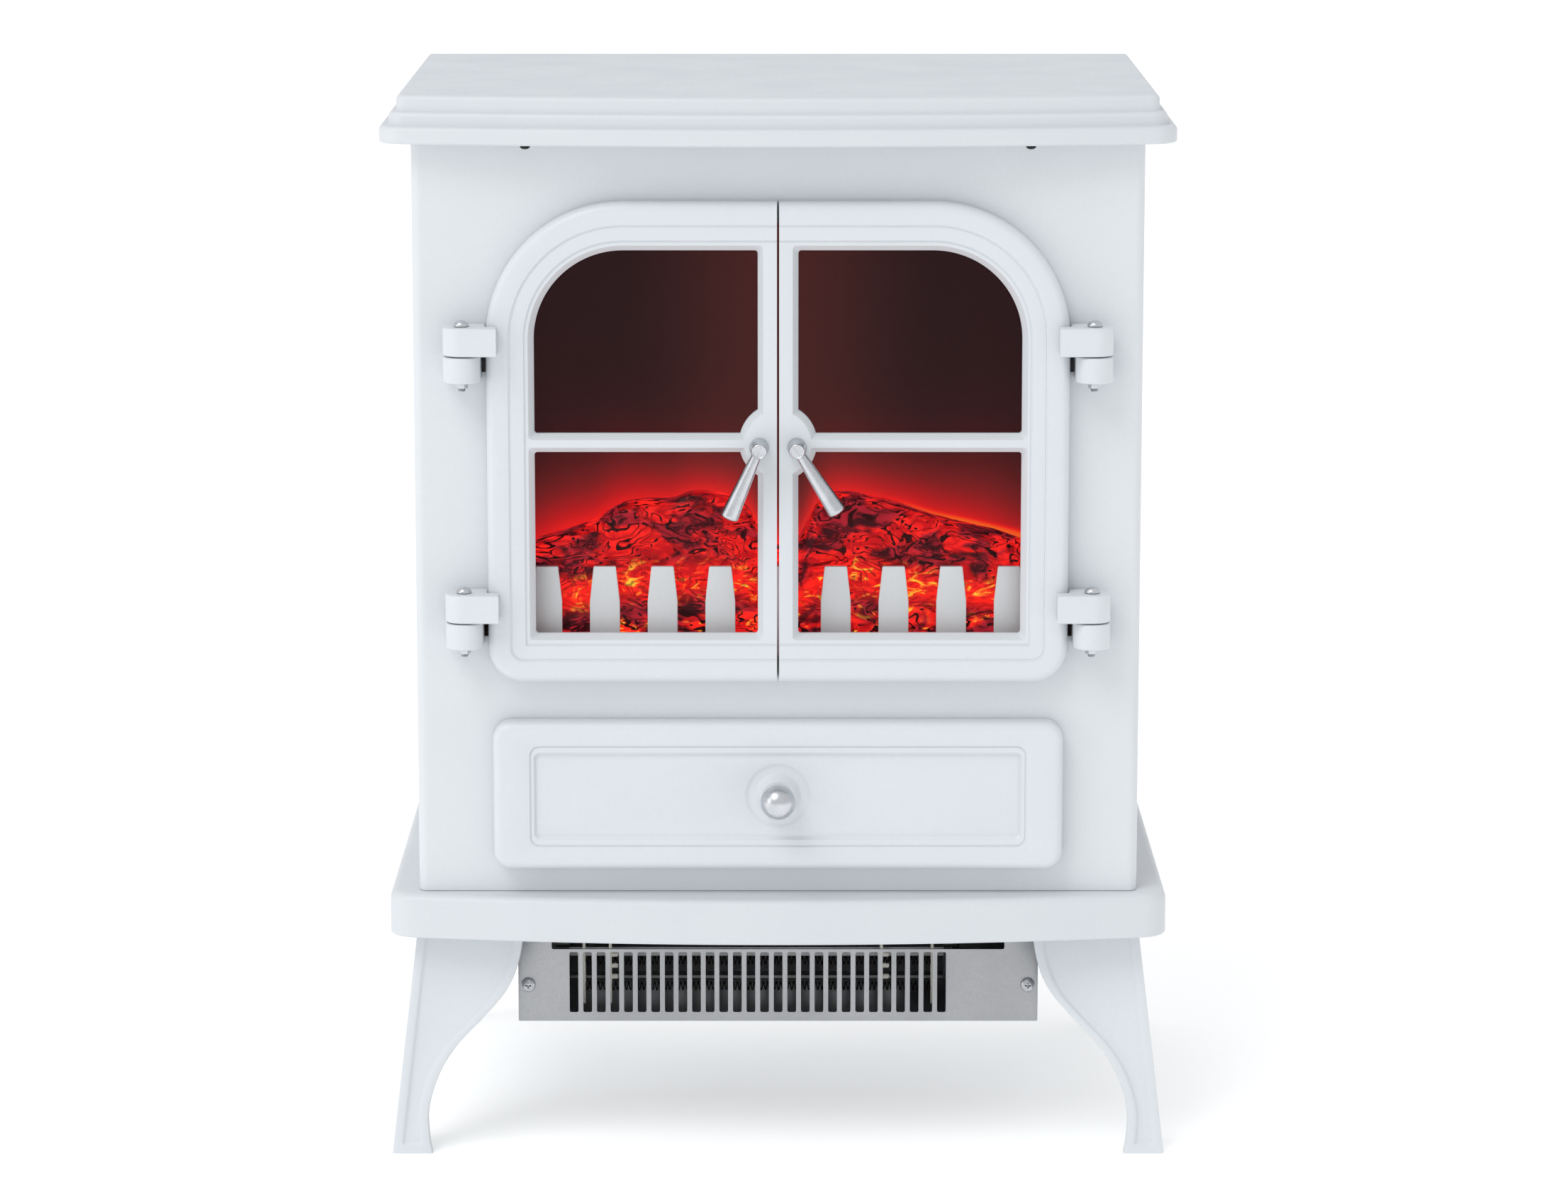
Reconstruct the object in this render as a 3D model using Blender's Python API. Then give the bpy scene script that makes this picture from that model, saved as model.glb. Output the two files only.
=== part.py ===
"""Freestanding electric fireplace: a sheet-steel stove on four cast legs, with a pair of glazed doors in front of
a flame effect, a drop-down flap over the controls, and a fan heater hung under the base plate.

Metres, +Z up. The front faces -Y and the object stands on z = 0. Every part is drawn in the stove's own frame,
whose y = 0 is the front face of the body, and the stove_frame empty then centres the whole object on the origin.
"""

import math

import bmesh
import bpy
from mathutils import Matrix, Vector

MM = 0.001

# Clearance between pieces that touch, and around pieces that turn in a hole
GAP = 0.3 * MM
RUNNING = 0.4 * MM

# Body: folded sheet steel, y = 0 at its front face
BODY_WIDTH = 387 * MM
BODY_DEPTH = 258 * MM
BODY_HEIGHT = 404.1 * MM
BODY_CORNER = 5 * MM
SHEET = 1.5 * MM
REAR_FLANGE = 12 * MM

# Base plate and top plate: overhangs past the body, bow of the front edge
LEG_HEIGHT = 121 * MM
BASE_THICKNESS = 24 * MM
BASE_SIDE = 16 * MM
BASE_FRONT = 24 * MM
BASE_REAR = 6 * MM
TOP_SIDE = 16.5 * MM
TOP_FRONT = 27 * MM
TOP_REAR = 10 * MM
PLATE_BOW = 18 * MM
PLATE_CORNER = 15 * MM
TIER_HEIGHTS = (9.3 * MM, 7.2 * MM, 8.5 * MM)
TIER_INSETS = (0.0, 5.2 * MM, 9.2 * MM)
TIER_ROUND = 2.4 * MM
BASE_ROUND = 4.5 * MM
TOP_SCREW_INSET = 61.1 * MM
TOP_SCREW_Y = -13 * MM
TOP_SCREW_HEAD = 2.6 * MM
TOP_SCREW_SHANK = 1.3 * MM

# Doors: one arched outline shared by the pair, measured over both doors
DOORS_WIDTH = 308.5 * MM
DOORS_HEIGHT = 257 * MM
DOORS_ABOVE_BASE = 116.9 * MM
DOOR_ARCH = 72.5 * MM
DOOR_FOOT_CORNER = 19 * MM
DOOR_THICKNESS = 12.3 * MM
DOOR_STANDOFF = 0.5 * MM
SPLIT_GAP = 1.2 * MM
BORDER = 12.6 * MM
STEP_BAND = 8 * MM
STEP_DROP = 0.8 * MM
WINDOW_SIDE = 25.2 * MM
WINDOW_TOP = 25.7 * MM
WINDOW_FOOT = 25.9 * MM
WINDOW_STILE = 10.7 * MM
CROSSBAR = 10 * MM
CROSSBAR_ABOVE_SILL = 128.8 * MM
PAD_RADIUS = 20.6 * MM
WINDOW_CORNER = 1.2 * MM
WINDOW_BEVEL = 3 * MM
WINDOW_BEVEL_DEPTH = 4.5 * MM
GLASS_THICKNESS = 3 * MM
GLASS_LAP = 6 * MM

# Door hinges: stacked blocks on a vertical pin
HINGE_FROM_DOOR = 12.5 * MM
HINGE_REACH = 14 * MM
KNUCKLE_RADIUS = 9.9 * MM
KNUCKLE_ARM = 6.2 * MM
MOVING_HEIGHT = 15 * MM
FIXED_HEIGHT = 13.8 * MM
KNUCKLE_GAP = 0.7 * MM
PIN_RADIUS = 2 * MM
PIN_HEAD_RADIUS = 4 * MM
UPPER_HINGE_ABOVE_SILL = 176.1 * MM
LOWER_HINGE_ABOVE_SILL = 33.4 * MM

# Door handles: a boss and a tapered lever
HANDLE_X = 10 * MM
HANDLE_BELOW_CROSSBAR = 1.8 * MM
BOSS_BASE = 5.1 * MM
BOSS_END = 4.1 * MM
BOSS_LENGTH = 15 * MM
SPIGOT_RADIUS = 2.2 * MM
LEVER_LENGTH = 39.8 * MM
LEVER_THIN = 2.6 * MM
LEVER_THICK = 5 * MM
LEFT_LEVER_ANGLE = math.radians(24)
RIGHT_LEVER_ANGLE = math.radians(33)

# Control flap, hinged on its lower rear edge, with a ball knob
FLAP_WIDTH = 305 * MM
FLAP_HEIGHT = 80.6 * MM
FLAP_ABOVE_BASE = 14.4 * MM
FLAP_CORNER = 9.5 * MM
FLAP_THICKNESS = 12 * MM
FLAP_STANDOFF = 0.5 * MM
FLAP_SKIN = 2.5 * MM
FLAP_FOOT_WALL = 6 * MM
PANEL_INSET_X = 20 * MM
PANEL_INSET_Z = 13 * MM
PANEL_CORNER = 5 * MM
PANEL_RECESS = 2.4 * MM
FLAP_AXIS_Y = 3 * MM
FLAP_AXIS_Z = 2.4 * MM
FLAP_REAR_CHAMFER = 1.3 * MM
TRUNNION_RADIUS = 1.2 * MM
TAB_X = 123 * MM
TAB_THICKNESS = 1.5 * MM
TAB_RADIUS = 2.2 * MM
NOTCH_WIDTH = 8 * MM
BALL_RADIUS = 9.3 * MM
BALL_REACH = 26 * MM
COLLAR_BASE = 11.5 * MM
COLLAR_END = 9 * MM
DISH_RADIUS = 17.8 * MM
DISH_DEPTH = 0.7 * MM
STUD_RADIUS = 2 * MM

# Openings in the body front
FIRE_LAP = 12 * MM
CONTROL_LAP_X = 14 * MM
CONTROL_LAP_Z = 8 * MM

# Firebox and the light box behind it
FIREBOX_WIDTH = 300 * MM
FIREBOX_ABOVE_SILL = 5.5 * MM
FIREBOX_HEIGHT = 246 * MM
FIREBOX_DEPTH = 58 * MM
LIGHTBOX_DEPTH = 120 * MM
LINER_WALL = 1 * MM
SCREEN_THICKNESS = 3 * MM

# Log set and fire fence
LOG_LENGTH = 284 * MM
LOG_FRONT = 15 * MM
LOG_REAR = 54 * MM
LOG_HEIGHT = 88 * MM
LOG_SHOULDER = 60 * MM
FENCE_Y = 6.5 * MM
FENCE_THICKNESS = 3 * MM
FENCE_HEIGHT = 54 * MM
FENCE_KINK_HEIGHT = 35 * MM
FENCE_PITCH = 30.9 * MM
FENCE_BARS = 9
FENCE_BAR_TOP = 12.2 * MM
FENCE_BAR_FOOT = 16.5 * MM
FENCE_RAIL = 8 * MM

# Flame effect: lamps and a turning spindle of vanes
SPINDLE_Y = 84 * MM
SPINDLE_HEIGHT = 62 * MM
SPINDLE_RADIUS = 13 * MM
SPINDLE_SHAFT = 2.2 * MM
SPINDLE_VANES = 4
SPINDLE_TWIST = math.radians(360)
SPINDLE_STATIONS = 18
SPINDLE_MOTOR_RADIUS = 15 * MM
SPINDLE_MOTOR_LENGTH = 18 * MM
LAMP_X = 70 * MM
LAMP_Y = 135 * MM
LAMP_RADIUS = 15 * MM
LAMP_CAP = 7 * MM
HOLDER_RADIUS = 10 * MM
HOLDER_HEIGHT = 18 * MM
HOLDER_FLOOR = 3 * MM

# Fan heater under the base plate
HEATER_WIDTH = 285 * MM
HEATER_FRONT = 38 * MM
HEATER_DEPTH = 86 * MM
HEATER_HEIGHT = 58.7 * MM
HEATER_WALL = 1.2 * MM
GRILLE_SLOTS = 28
SLOT_WIDTH = 4.7 * MM
SLOT_PITCH = 7.47 * MM
SLOT_FIRST = -112 * MM
SLOT_LIFT = 5.1 * MM
SLOT_HEIGHT = 33.8 * MM
LONG_SLOT_HALF = 124 * MM
LONG_SLOT_LIFT = 40.7 * MM
LONG_SLOT_HEIGHT = 9 * MM
SCREW_X = 137 * MM
SCREW_LIFT = 20.6 * MM
SCREW_HEAD = 3.9 * MM
SCREW_SHANK = 1.7 * MM
FAN_Y = 96 * MM
FAN_RADIUS = 20 * MM
FAN_SHAFT = 2.5 * MM
FAN_VANES = 8
FAN_LEFT = -116 * MM
FAN_RIGHT = 92 * MM
FAN_MOTOR_RADIUS = 18 * MM
FAN_MOTOR_LENGTH = 30 * MM
ELEMENT_Y = 54 * MM
ELEMENT_LEFT = -108 * MM
ELEMENT_RIGHT = 86 * MM

# Controls behind the flap
CONTROL_DEPTH = 14.5 * MM
CONTROL_WALL = 1.5 * MM
ROCKER_XS = (-92 * MM, -62 * MM, -32 * MM)
ROCKER_WIDTH = 12 * MM
ROCKER_HEIGHT = 17 * MM
ROCKER_TILT = math.radians(6)
ROCKER_PIVOT_Y = 17.5 * MM
ROCKER_CLEARANCE = 0.8 * MM
DIMMER_X = 22 * MM
THERMOSTAT_X = 80 * MM
KNOB_RADIUS = 12 * MM
KNOB_FRONT = 3.5 * MM
KNOB_SHAFT = 3 * MM

# Legs: two plates meeting at a corner, flaring outward to the foot
LEG_TOP_WIDTH = 58 * MM
LEG_WAIST = 17.3 * MM
LEG_FOOT_WIDTH = 22 * MM
LEG_WALL = 5 * MM
LEG_RIM = 5 * MM
LEG_RECESS = 1.4 * MM
LEG_FLARE = 14 * MM
LEG_FLANGE = 3 * MM

# Cord gland in the rear panel
GLAND_X = 160 * MM
GLAND_ABOVE_BASE = 26.4 * MM
GLAND_NECK = 6 * MM
GLAND_FLANGE = 10 * MM
GLAND_BORE = 3.8 * MM

# Levels and places worked out from the sizes above
BASE_Z = LEG_HEIGHT + GAP
BODY_Z = BASE_Z + BASE_THICKNESS + GAP
BODY_TOP = BODY_Z + BODY_HEIGHT
TOP_Z = BODY_TOP + GAP
TOP_SCREW_X = BODY_WIDTH / 2 - TOP_SCREW_INSET
REAR_SHEET_Y = BODY_DEPTH + GAP
DOORS_SILL = BODY_Z + DOORS_ABOVE_BASE
DOORS_TOP = DOORS_SILL + DOORS_HEIGHT
CROSSBAR_CENTRE = DOORS_SILL + CROSSBAR_ABOVE_SILL
HANDLE_Z = CROSSBAR_CENTRE - HANDLE_BELOW_CROSSBAR
UPPER_HINGE = DOORS_SILL + UPPER_HINGE_ABOVE_SILL
LOWER_HINGE = DOORS_SILL + LOWER_HINGE_ABOVE_SILL
DOOR_REAR = -DOOR_STANDOFF
DOOR_FACE = -DOOR_STANDOFF - DOOR_THICKNESS
DOOR_BAND = DOOR_FACE + STEP_DROP
DOOR_FLAT = DOOR_BAND + STEP_DROP
HINGE_X = DOORS_WIDTH / 2 + HINGE_FROM_DOOR
FLAP_SILL = BODY_Z + FLAP_ABOVE_BASE
FLAP_FACE = -FLAP_STANDOFF - FLAP_THICKNESS
FLAP_FLOOR = FLAP_FACE + PANEL_RECESS
FLAP_CENTRE = FLAP_SILL + FLAP_HEIGHT / 2
BALL_FRONT = BALL_REACH + BALL_RADIUS
FIREBOX_SILL = DOORS_SILL + FIREBOX_ABOVE_SILL
FIREBOX_FRONT = SHEET + GAP
LOG_TOP = FIREBOX_SILL + LOG_HEIGHT
FENCE_TOP = FIREBOX_SILL + FENCE_HEIGHT
FENCE_KINK = FIREBOX_SILL + FENCE_KINK_HEIGHT
SPINDLE_Z = FIREBOX_SILL + SPINDLE_HEIGHT
SCREEN_Y = FIREBOX_FRONT + FIREBOX_DEPTH + GAP
LIGHTBOX_Y = SCREEN_Y + SCREEN_THICKNESS + GAP
HEATER_TOP = BASE_Z - GAP
HEATER_FOOT = HEATER_TOP - HEATER_HEIGHT
SLOT_FOOT = HEATER_FOOT + SLOT_LIFT
SLOT_TOP = SLOT_FOOT + SLOT_HEIGHT
LONG_SLOT_FOOT = HEATER_FOOT + LONG_SLOT_LIFT
LONG_SLOT_TOP = LONG_SLOT_FOOT + LONG_SLOT_HEIGHT
SCREW_Z = HEATER_FOOT + SCREW_LIFT
GLAND_Z = BODY_Z + GLAND_ABOVE_BASE
HEATER_BOX_Y = HEATER_FRONT + HEATER_WALL + GAP
CONTROL_FRONT = SHEET + GAP
CONTROL_FACE = CONTROL_FRONT + CONTROL_DEPTH - CONTROL_WALL
CONTROL_REAR = CONTROL_FRONT + CONTROL_DEPTH
ORIGIN_Y = (BALL_FRONT - BODY_DEPTH - TOP_REAR) / 2

# Finishes: colour, roughness, metallic
FINISHES = {
    "white_enamel": ((0.82, 0.84, 0.86), 0.38, 0.0),
    "black_paint": ((0.02, 0.02, 0.022), 0.6, 0.0),
    "grey_steel": ((0.55, 0.56, 0.57), 0.42, 0.7),
    "bright_steel": ((0.72, 0.73, 0.75), 0.25, 1.0),
    "satin_silver": ((0.66, 0.67, 0.69), 0.34, 1.0),
    "smoked_glass": ((0.12, 0.07, 0.07), 0.05, 0.0),
    "frosted_acrylic": ((0.45, 0.08, 0.06), 0.5, 0.0),
    "resin_log": ((0.62, 0.12, 0.04), 0.55, 0.0),
    "fence_grey": ((0.6, 0.6, 0.61), 0.5, 0.0),
    "white_plastic": ((0.8, 0.8, 0.78), 0.45, 0.0),
    "black_plastic": ((0.03, 0.03, 0.032), 0.5, 0.0),
    "ceramic": ((0.85, 0.83, 0.78), 0.6, 0.0),
    "lamp_glass": ((0.95, 0.93, 0.85), 0.15, 0.0),
    "foil": ((0.8, 0.8, 0.82), 0.2, 1.0),
}


# ---------------------------------------------------------------------------------------------- outlines


def arc(cu, cv, radius, start, end, steps):
    """Points along an arc, both ends included, angles in degrees."""
    angles = [math.radians(start + (end - start) * i / steps) for i in range(steps + 1)]
    return [(cu + radius * math.cos(a), cv + radius * math.sin(a)) for a in angles]


def circle(cu, cv, radius, steps=24):
    return arc(cu, cv, radius, 0, 360, steps)[:-1]


def rect(u0, u1, v0, v1):
    return [(u0, v0), (u1, v0), (u1, v1), (u0, v1)]


def rounded_rect(u0, u1, v0, v1, radius, steps=4):
    """A rectangle with round corners, anticlockwise from its lower right corner."""
    lower_right = arc(u1 - radius, v0 + radius, radius, -90, 0, steps)
    upper_right = arc(u1 - radius, v1 - radius, radius, 0, 90, steps)
    upper_left = arc(u0 + radius, v1 - radius, radius, 90, 180, steps)
    lower_left = arc(u0 + radius, v0 + radius, radius, 180, 270, steps)
    return lower_right + upper_right + upper_left + lower_left


def mirrored(outline):
    """The outline reflected left to right, in the opposite order."""
    return [(-u, v) for u, v in reversed(outline)]


def inset(outline, distance):
    """A closed anticlockwise outline moved inward by a distance, corner by corner."""
    result = []
    count = len(outline)
    for i, (u, v) in enumerate(outline):
        before = Vector((u, v)) - Vector(outline[i - 1])
        after = Vector(outline[(i + 1) % count]) - Vector((u, v))
        before.normalize()
        after.normalize()
        normal = Vector((-before.y - after.y, before.x + after.x))
        normal.normalize()
        lean = max(0.3, normal.dot(Vector((-before.y, before.x))))
        result.append((u + normal.x * distance / lean, v + normal.y * distance / lean))
    return result


# ------------------------------------------------------------------------------------------------ shapes


def facing_front(u, v, depth):
    """u is x, v is z, and depth runs along y."""
    return (u, depth, v)


def lying_flat(u, v, depth):
    """u is x, v is y, and depth runs along z."""
    return (u, v, depth)


def facing_side(u, v, depth):
    """u is y, v is z, and depth runs along x."""
    return (depth, u, v)


def along(origin, direction):
    """A placing function whose depth runs from origin along direction."""
    forward = Vector(direction).normalized()
    across = forward.orthogonal().normalized()
    up = forward.cross(across)

    def place(u, v, depth):
        return Vector(origin) + across * u + up * v + forward * depth

    return place


class Shape:
    """A closed solid being built from loops of points, the walls between them and the caps that close them."""

    def __init__(self, place):
        self.mesh = bmesh.new()
        self.place = place

    def loop(self, outline, depth, closed=True):
        points = [self.mesh.verts.new(self.place(u, v, depth)) for u, v in outline]
        for a, b in zip(points, points[1:]):
            self.mesh.edges.new((a, b))
        if closed:
            self.mesh.edges.new((points[-1], points[0]))
        return points

    def wall(self, first, second, closed=True):
        count = len(first)
        for i in range(count if closed else count - 1):
            j = (i + 1) % count
            self.mesh.faces.new((first[i], first[j], second[j], second[i]))

    def walls(self, loops, closed=True):
        for first, second in zip(loops, loops[1:]):
            self.wall(first, second, closed)

    def cap(self, *loops):
        edges = []
        for points in loops:
            for a, b in zip(points, points[1:] + points[:1]):
                edges.append(self.mesh.edges.get((a, b)) or self.mesh.edges.new((a, b)))
        bmesh.ops.triangle_fill(self.mesh, use_beauty=True, use_dissolve=False, edges=edges)

    def prism(self, outline, start, end, holes=()):
        """An outline with holes right through, extruded from start to end."""
        first = [self.loop(points, start) for points in (outline, *holes)]
        second = [self.loop(points, end) for points in (outline, *holes)]
        for a, b in zip(first, second):
            self.wall(a, b)
        self.cap(*first)
        self.cap(*second)

    def soft_prism(self, outline, start, end, edge, holes=()):
        """A prism whose outer edges have a small chamfer."""
        small = inset(outline, edge)
        outer = [
            self.loop(small, start),
            self.loop(outline, start + edge),
            self.loop(outline, end - edge),
            self.loop(small, end),
        ]
        self.walls(outer)
        first = [self.loop(points, start) for points in holes]
        second = [self.loop(points, end) for points in holes]
        for a, b in zip(first, second):
            self.wall(a, b)
        self.cap(outer[0], *first)
        self.cap(outer[-1], *second)

    def turned(self, profile, centre=(0.0, 0.0), steps=24):
        """A turned solid: profile holds (radius, depth) from one flat end to the other."""
        rings = [self.loop(circle(*centre, radius, steps), depth) for radius, depth in profile]
        self.walls(rings)
        self.cap(rings[0])
        self.cap(rings[-1])

    def turned_ring(self, profile, centre=(0.0, 0.0), steps=24):
        """A turned solid with a bore right through: profile goes once round its section."""
        rings = [self.loop(circle(*centre, radius, steps), depth) for radius, depth in profile]
        self.walls(rings + rings[:1])

    def tray(self, outer, inner, mouth, floor, back, holes=()):
        """A shallow box, open at mouth, with a floor from floor to back and holes through that floor."""
        outer_mouth = self.loop(outer, mouth)
        outer_back = self.loop(outer, back)
        inner_mouth = self.loop(inner, mouth)
        inner_floor = self.loop(inner, floor)
        self.wall(outer_mouth, outer_back)
        self.wall(inner_mouth, inner_floor)
        self.cap(outer_mouth, inner_mouth)
        front_holes = [self.loop(points, floor) for points in holes]
        back_holes = [self.loop(points, back) for points in holes]
        for a, b in zip(front_holes, back_holes):
            self.wall(a, b)
        self.cap(inner_floor, *front_holes)
        self.cap(outer_back, *back_holes)


def add_part(name, shape, finish, parent):
    """Makes the object, with its origin at its parent's place, in a material of its own."""
    mesh = bpy.data.meshes.new(name)
    bmesh.ops.remove_doubles(shape.mesh, verts=shape.mesh.verts, dist=0.00001)
    bmesh.ops.recalc_face_normals(shape.mesh, faces=shape.mesh.faces)
    shape.mesh.to_mesh(mesh)
    shape.mesh.free()
    mesh.transform(Matrix.Translation(-pivot_of(parent)))
    mesh.shade_smooth()
    mesh.set_sharp_from_angle(angle=math.radians(35))
    part = bpy.data.objects.new(name, mesh)
    bpy.context.scene.collection.objects.link(part)
    part.parent = parent
    if finish:
        mesh.materials.append(painted(name, finish))
    return part


def pivot_of(parent):
    """Where an empty stands in the stove's own frame."""
    return Vector(parent.location) if parent.parent else Vector((0, 0, 0))


def painted(name, finish):
    colour, roughness, metallic = FINISHES[finish]
    material = bpy.data.materials.new(f"{name}_{finish}")
    material.use_nodes = True
    shader = material.node_tree.nodes["Principled BSDF"]
    shader.inputs["Base Color"].default_value = (*colour, 1.0)
    shader.inputs["Roughness"].default_value = roughness
    shader.inputs["Metallic"].default_value = metallic
    return material


def add_empty(name, place, parent=None):
    empty = bpy.data.objects.new(name, None)
    empty.empty_display_size = 0.02
    empty.location = place
    empty.parent = parent
    bpy.context.scene.collection.objects.link(empty)
    return empty


def combine(part, shape, operation):
    """Cuts a shape away from a part, or fuses it on, with a hidden helper object."""
    helper = add_part(f"{part.name}_{operation.lower()}_helper", shape, None, part.parent)
    helper.hide_render = True
    helper.display_type = "WIRE"
    modifier = part.modifiers.new(operation.lower(), "BOOLEAN")
    modifier.operation = operation
    modifier.solver = "EXACT"
    modifier.object = helper


def cut(part, shape):
    combine(part, shape, "DIFFERENCE")


def fuse(part, shape):
    combine(part, shape, "UNION")


# ------------------------------------------------------------------------------------------------ casing


def plate_outline(width, front, rear, shrink):
    """Plan of the base or top plate: a bowed front edge, round front corners and tighter rear corners."""
    half = width / 2 - shrink
    corner = max(PLATE_CORNER - shrink, 1.5 * MM)
    rear_corner = max(PLATE_CORNER / 2 - shrink / 2, 1.5 * MM)
    back = rear - shrink

    def bow(x):
        return -(front - shrink) + PLATE_BOW * (x / half) ** 2

    lean = math.degrees(math.atan(2 * PLATE_BOW / half))
    end_x = half - corner + corner * math.sin(math.radians(lean))
    centre_y = bow(end_x) + corner * math.cos(math.radians(lean))
    right = arc(half - corner, centre_y, corner, -90 + lean, 0, 5)
    right += arc(half - rear_corner, back - rear_corner, rear_corner, 0, 90, 2)
    steps = 10
    front_edge = [(-end_x + 2 * end_x * i / steps, bow(-end_x + 2 * end_x * i / steps)) for i in range(1, steps)]
    return right + mirrored(right) + front_edge


def plate_shape(width, front, rear, sections):
    """A plate whose edge runs through sections of (inset, height), bottom to top."""
    shape = Shape(lying_flat)
    loops = [shape.loop(plate_outline(width, front, rear, shrink), height) for shrink, height in sections]
    shape.walls(loops)
    shape.cap(loops[0])
    shape.cap(loops[-1])
    return shape


def round_over(inset_from, height, radius, steps=3):
    """Sections of a rounded upper edge that ends at height."""
    points = arc(0, 0, radius, 0, 90, steps)
    return [(inset_from + radius - u, height - radius + v) for u, v in points]


def round_under(height, radius, steps=2):
    """Sections of a rounded lower edge that starts at height."""
    points = arc(0, 0, radius, -90, 0, steps)
    return [(radius - u, height + radius + v) for u, v in points]


def make_top_plate(frame):
    sections = round_under(TOP_Z, TIER_ROUND / 2)
    level = TOP_Z
    for tier_inset, tier_height in zip(TIER_INSETS, TIER_HEIGHTS):
        if tier_inset:
            sections.append((tier_inset, level))
        level += tier_height
        sections += round_over(tier_inset, level, TIER_ROUND)
    width = BODY_WIDTH + 2 * TOP_SIDE
    shape = plate_shape(width, TOP_FRONT, BODY_DEPTH + TOP_REAR, sections)
    part = add_part("top_plate", shape, "white_enamel", frame)
    holes = Shape(lying_flat)
    for x in (-TOP_SCREW_X, TOP_SCREW_X):
        holes.turned([(TOP_SCREW_SHANK + GAP, TOP_Z - 1 * MM), (TOP_SCREW_SHANK + GAP, TOP_Z + 7 * MM)],
                     (x, TOP_SCREW_Y), 12)
    cut(part, holes)


def make_top_screws(frame):
    for side, x in (("left", -TOP_SCREW_X), ("right", TOP_SCREW_X)):
        shape = Shape(lying_flat)
        head_top = TOP_Z - GAP
        profile = [(TOP_SCREW_HEAD * 0.6, head_top - 1.8 * MM), (TOP_SCREW_HEAD, head_top - 1.1 * MM)]
        profile += [(TOP_SCREW_HEAD, head_top), (TOP_SCREW_SHANK, head_top), (TOP_SCREW_SHANK, TOP_Z + 6 * MM)]
        shape.turned(profile, (x, TOP_SCREW_Y), 10)
        add_part(f"top_screw_{side}", shape, "black_paint", frame)


def make_base_plate(frame):
    sections = round_under(BASE_Z, TIER_ROUND / 2) + round_over(0, BASE_Z + BASE_THICKNESS, BASE_ROUND, 4)
    width = BODY_WIDTH + 2 * BASE_SIDE
    shape = plate_shape(width, BASE_FRONT, BODY_DEPTH + BASE_REAR, sections)
    part = add_part("base_plate", shape, "white_enamel", frame)
    wiring_hole = Shape(lying_flat)
    outline = rounded_rect(-18 * MM, 18 * MM, FAN_Y - 10 * MM, FAN_Y + 10 * MM, 4 * MM, 2)
    wiring_hole.prism(outline, BASE_Z - 2 * MM, BASE_Z + BASE_THICKNESS + 2 * MM)
    cut(part, wiring_hole)


def fire_opening():
    """The arched opening in the body front, covered by the doors."""
    half = DOORS_WIDTH / 2 - FIRE_LAP
    radius = DOOR_ARCH - FIRE_LAP
    foot = DOORS_SILL + FIRE_LAP
    top = DOORS_TOP - FIRE_LAP
    right = [(half, foot)] + arc(half - radius, top - radius, radius, 0, 90, 10)
    return right + mirrored(right)


def control_opening(grow=0.0):
    """The opening in the body front behind the flap."""
    half = FLAP_WIDTH / 2 - CONTROL_LAP_X + grow
    foot = FLAP_SILL + CONTROL_LAP_Z - grow
    top = FLAP_SILL + FLAP_HEIGHT - CONTROL_LAP_Z + grow
    return rounded_rect(-half, half, foot, top, 2 * MM, 2)


def hinge_tops():
    """Top level of the fixed block of each hinge."""
    return (("upper", UPPER_HINGE), ("lower", LOWER_HINGE))


def shank_slot(side, top):
    """Slot in the body front for the shank of a fixed hinge block, open a little towards the door."""
    door_edge = side * (DOORS_WIDTH / 2 - 1 * MM)
    far = side * (HINGE_X + KNUCKLE_RADIUS - 4 * MM)
    low = top - FIXED_HEIGHT + 3.4 * MM
    return rect(min(door_edge, far), max(door_edge, far), low, top - 1 * MM)


def make_body_shell(frame):
    half = BODY_WIDTH / 2
    inner = half - SHEET
    back = BODY_DEPTH - SHEET
    corner = max(BODY_CORNER - SHEET, 1 * MM)
    right = arc(half - BODY_CORNER, BODY_CORNER, BODY_CORNER, -90, 0, 6)
    right += [(half, BODY_DEPTH), (half - REAR_FLANGE, BODY_DEPTH), (half - REAR_FLANGE, back), (inner, back)]
    right += arc(inner - corner, SHEET + corner, corner, 0, -90, 6)
    shape = Shape(lying_flat)
    shape.prism(right + mirrored(right), BODY_Z, BODY_TOP)
    part = add_part("body_shell", shape, "white_enamel", frame)
    openings = Shape(facing_front)
    outlines = [fire_opening(), control_opening()]
    outlines += [shank_slot(side, top) for side in (-1, 1) for _, top in hinge_tops()]
    for outline in outlines:
        openings.prism(outline, -1 * MM, SHEET + 1 * MM)
    cut(part, openings)
    tabs = Shape(facing_side)
    axis_z = FLAP_SILL + FLAP_AXIS_Z
    for x in (-TAB_X, TAB_X):
        outline = arc(-FLAP_AXIS_Y, axis_z, TAB_RADIUS, 90, 270, 8)
        outline += [(SHEET / 2, axis_z - TAB_RADIUS), (SHEET / 2, axis_z + TAB_RADIUS)]
        hole = circle(-FLAP_AXIS_Y, axis_z, TRUNNION_RADIUS + GAP, 12)
        tabs.prism(outline, x - TAB_THICKNESS / 2, x + TAB_THICKNESS / 2, [hole])
    fuse(part, tabs)


def make_back_panel(frame):
    half = BODY_WIDTH / 2 - 3 * MM
    slots = []
    for row in range(9):
        z = BODY_Z + 190 * MM + row * 14 * MM
        for x in (-85 * MM, 85 * MM):
            slots.append(rect(x - 45 * MM, x + 45 * MM, z, z + 4 * MM))
    gland = circle(GLAND_X, GLAND_Z, GLAND_NECK + GAP, 16)
    shape = Shape(facing_front)
    outline = rounded_rect(-half, half, BODY_Z + 1 * MM, BODY_TOP - 1 * MM, 3 * MM, 3)
    shape.prism(outline, REAR_SHEET_Y, REAR_SHEET_Y + SHEET, [gland, *slots])
    add_part("back_panel", shape, "white_enamel", frame)


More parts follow.
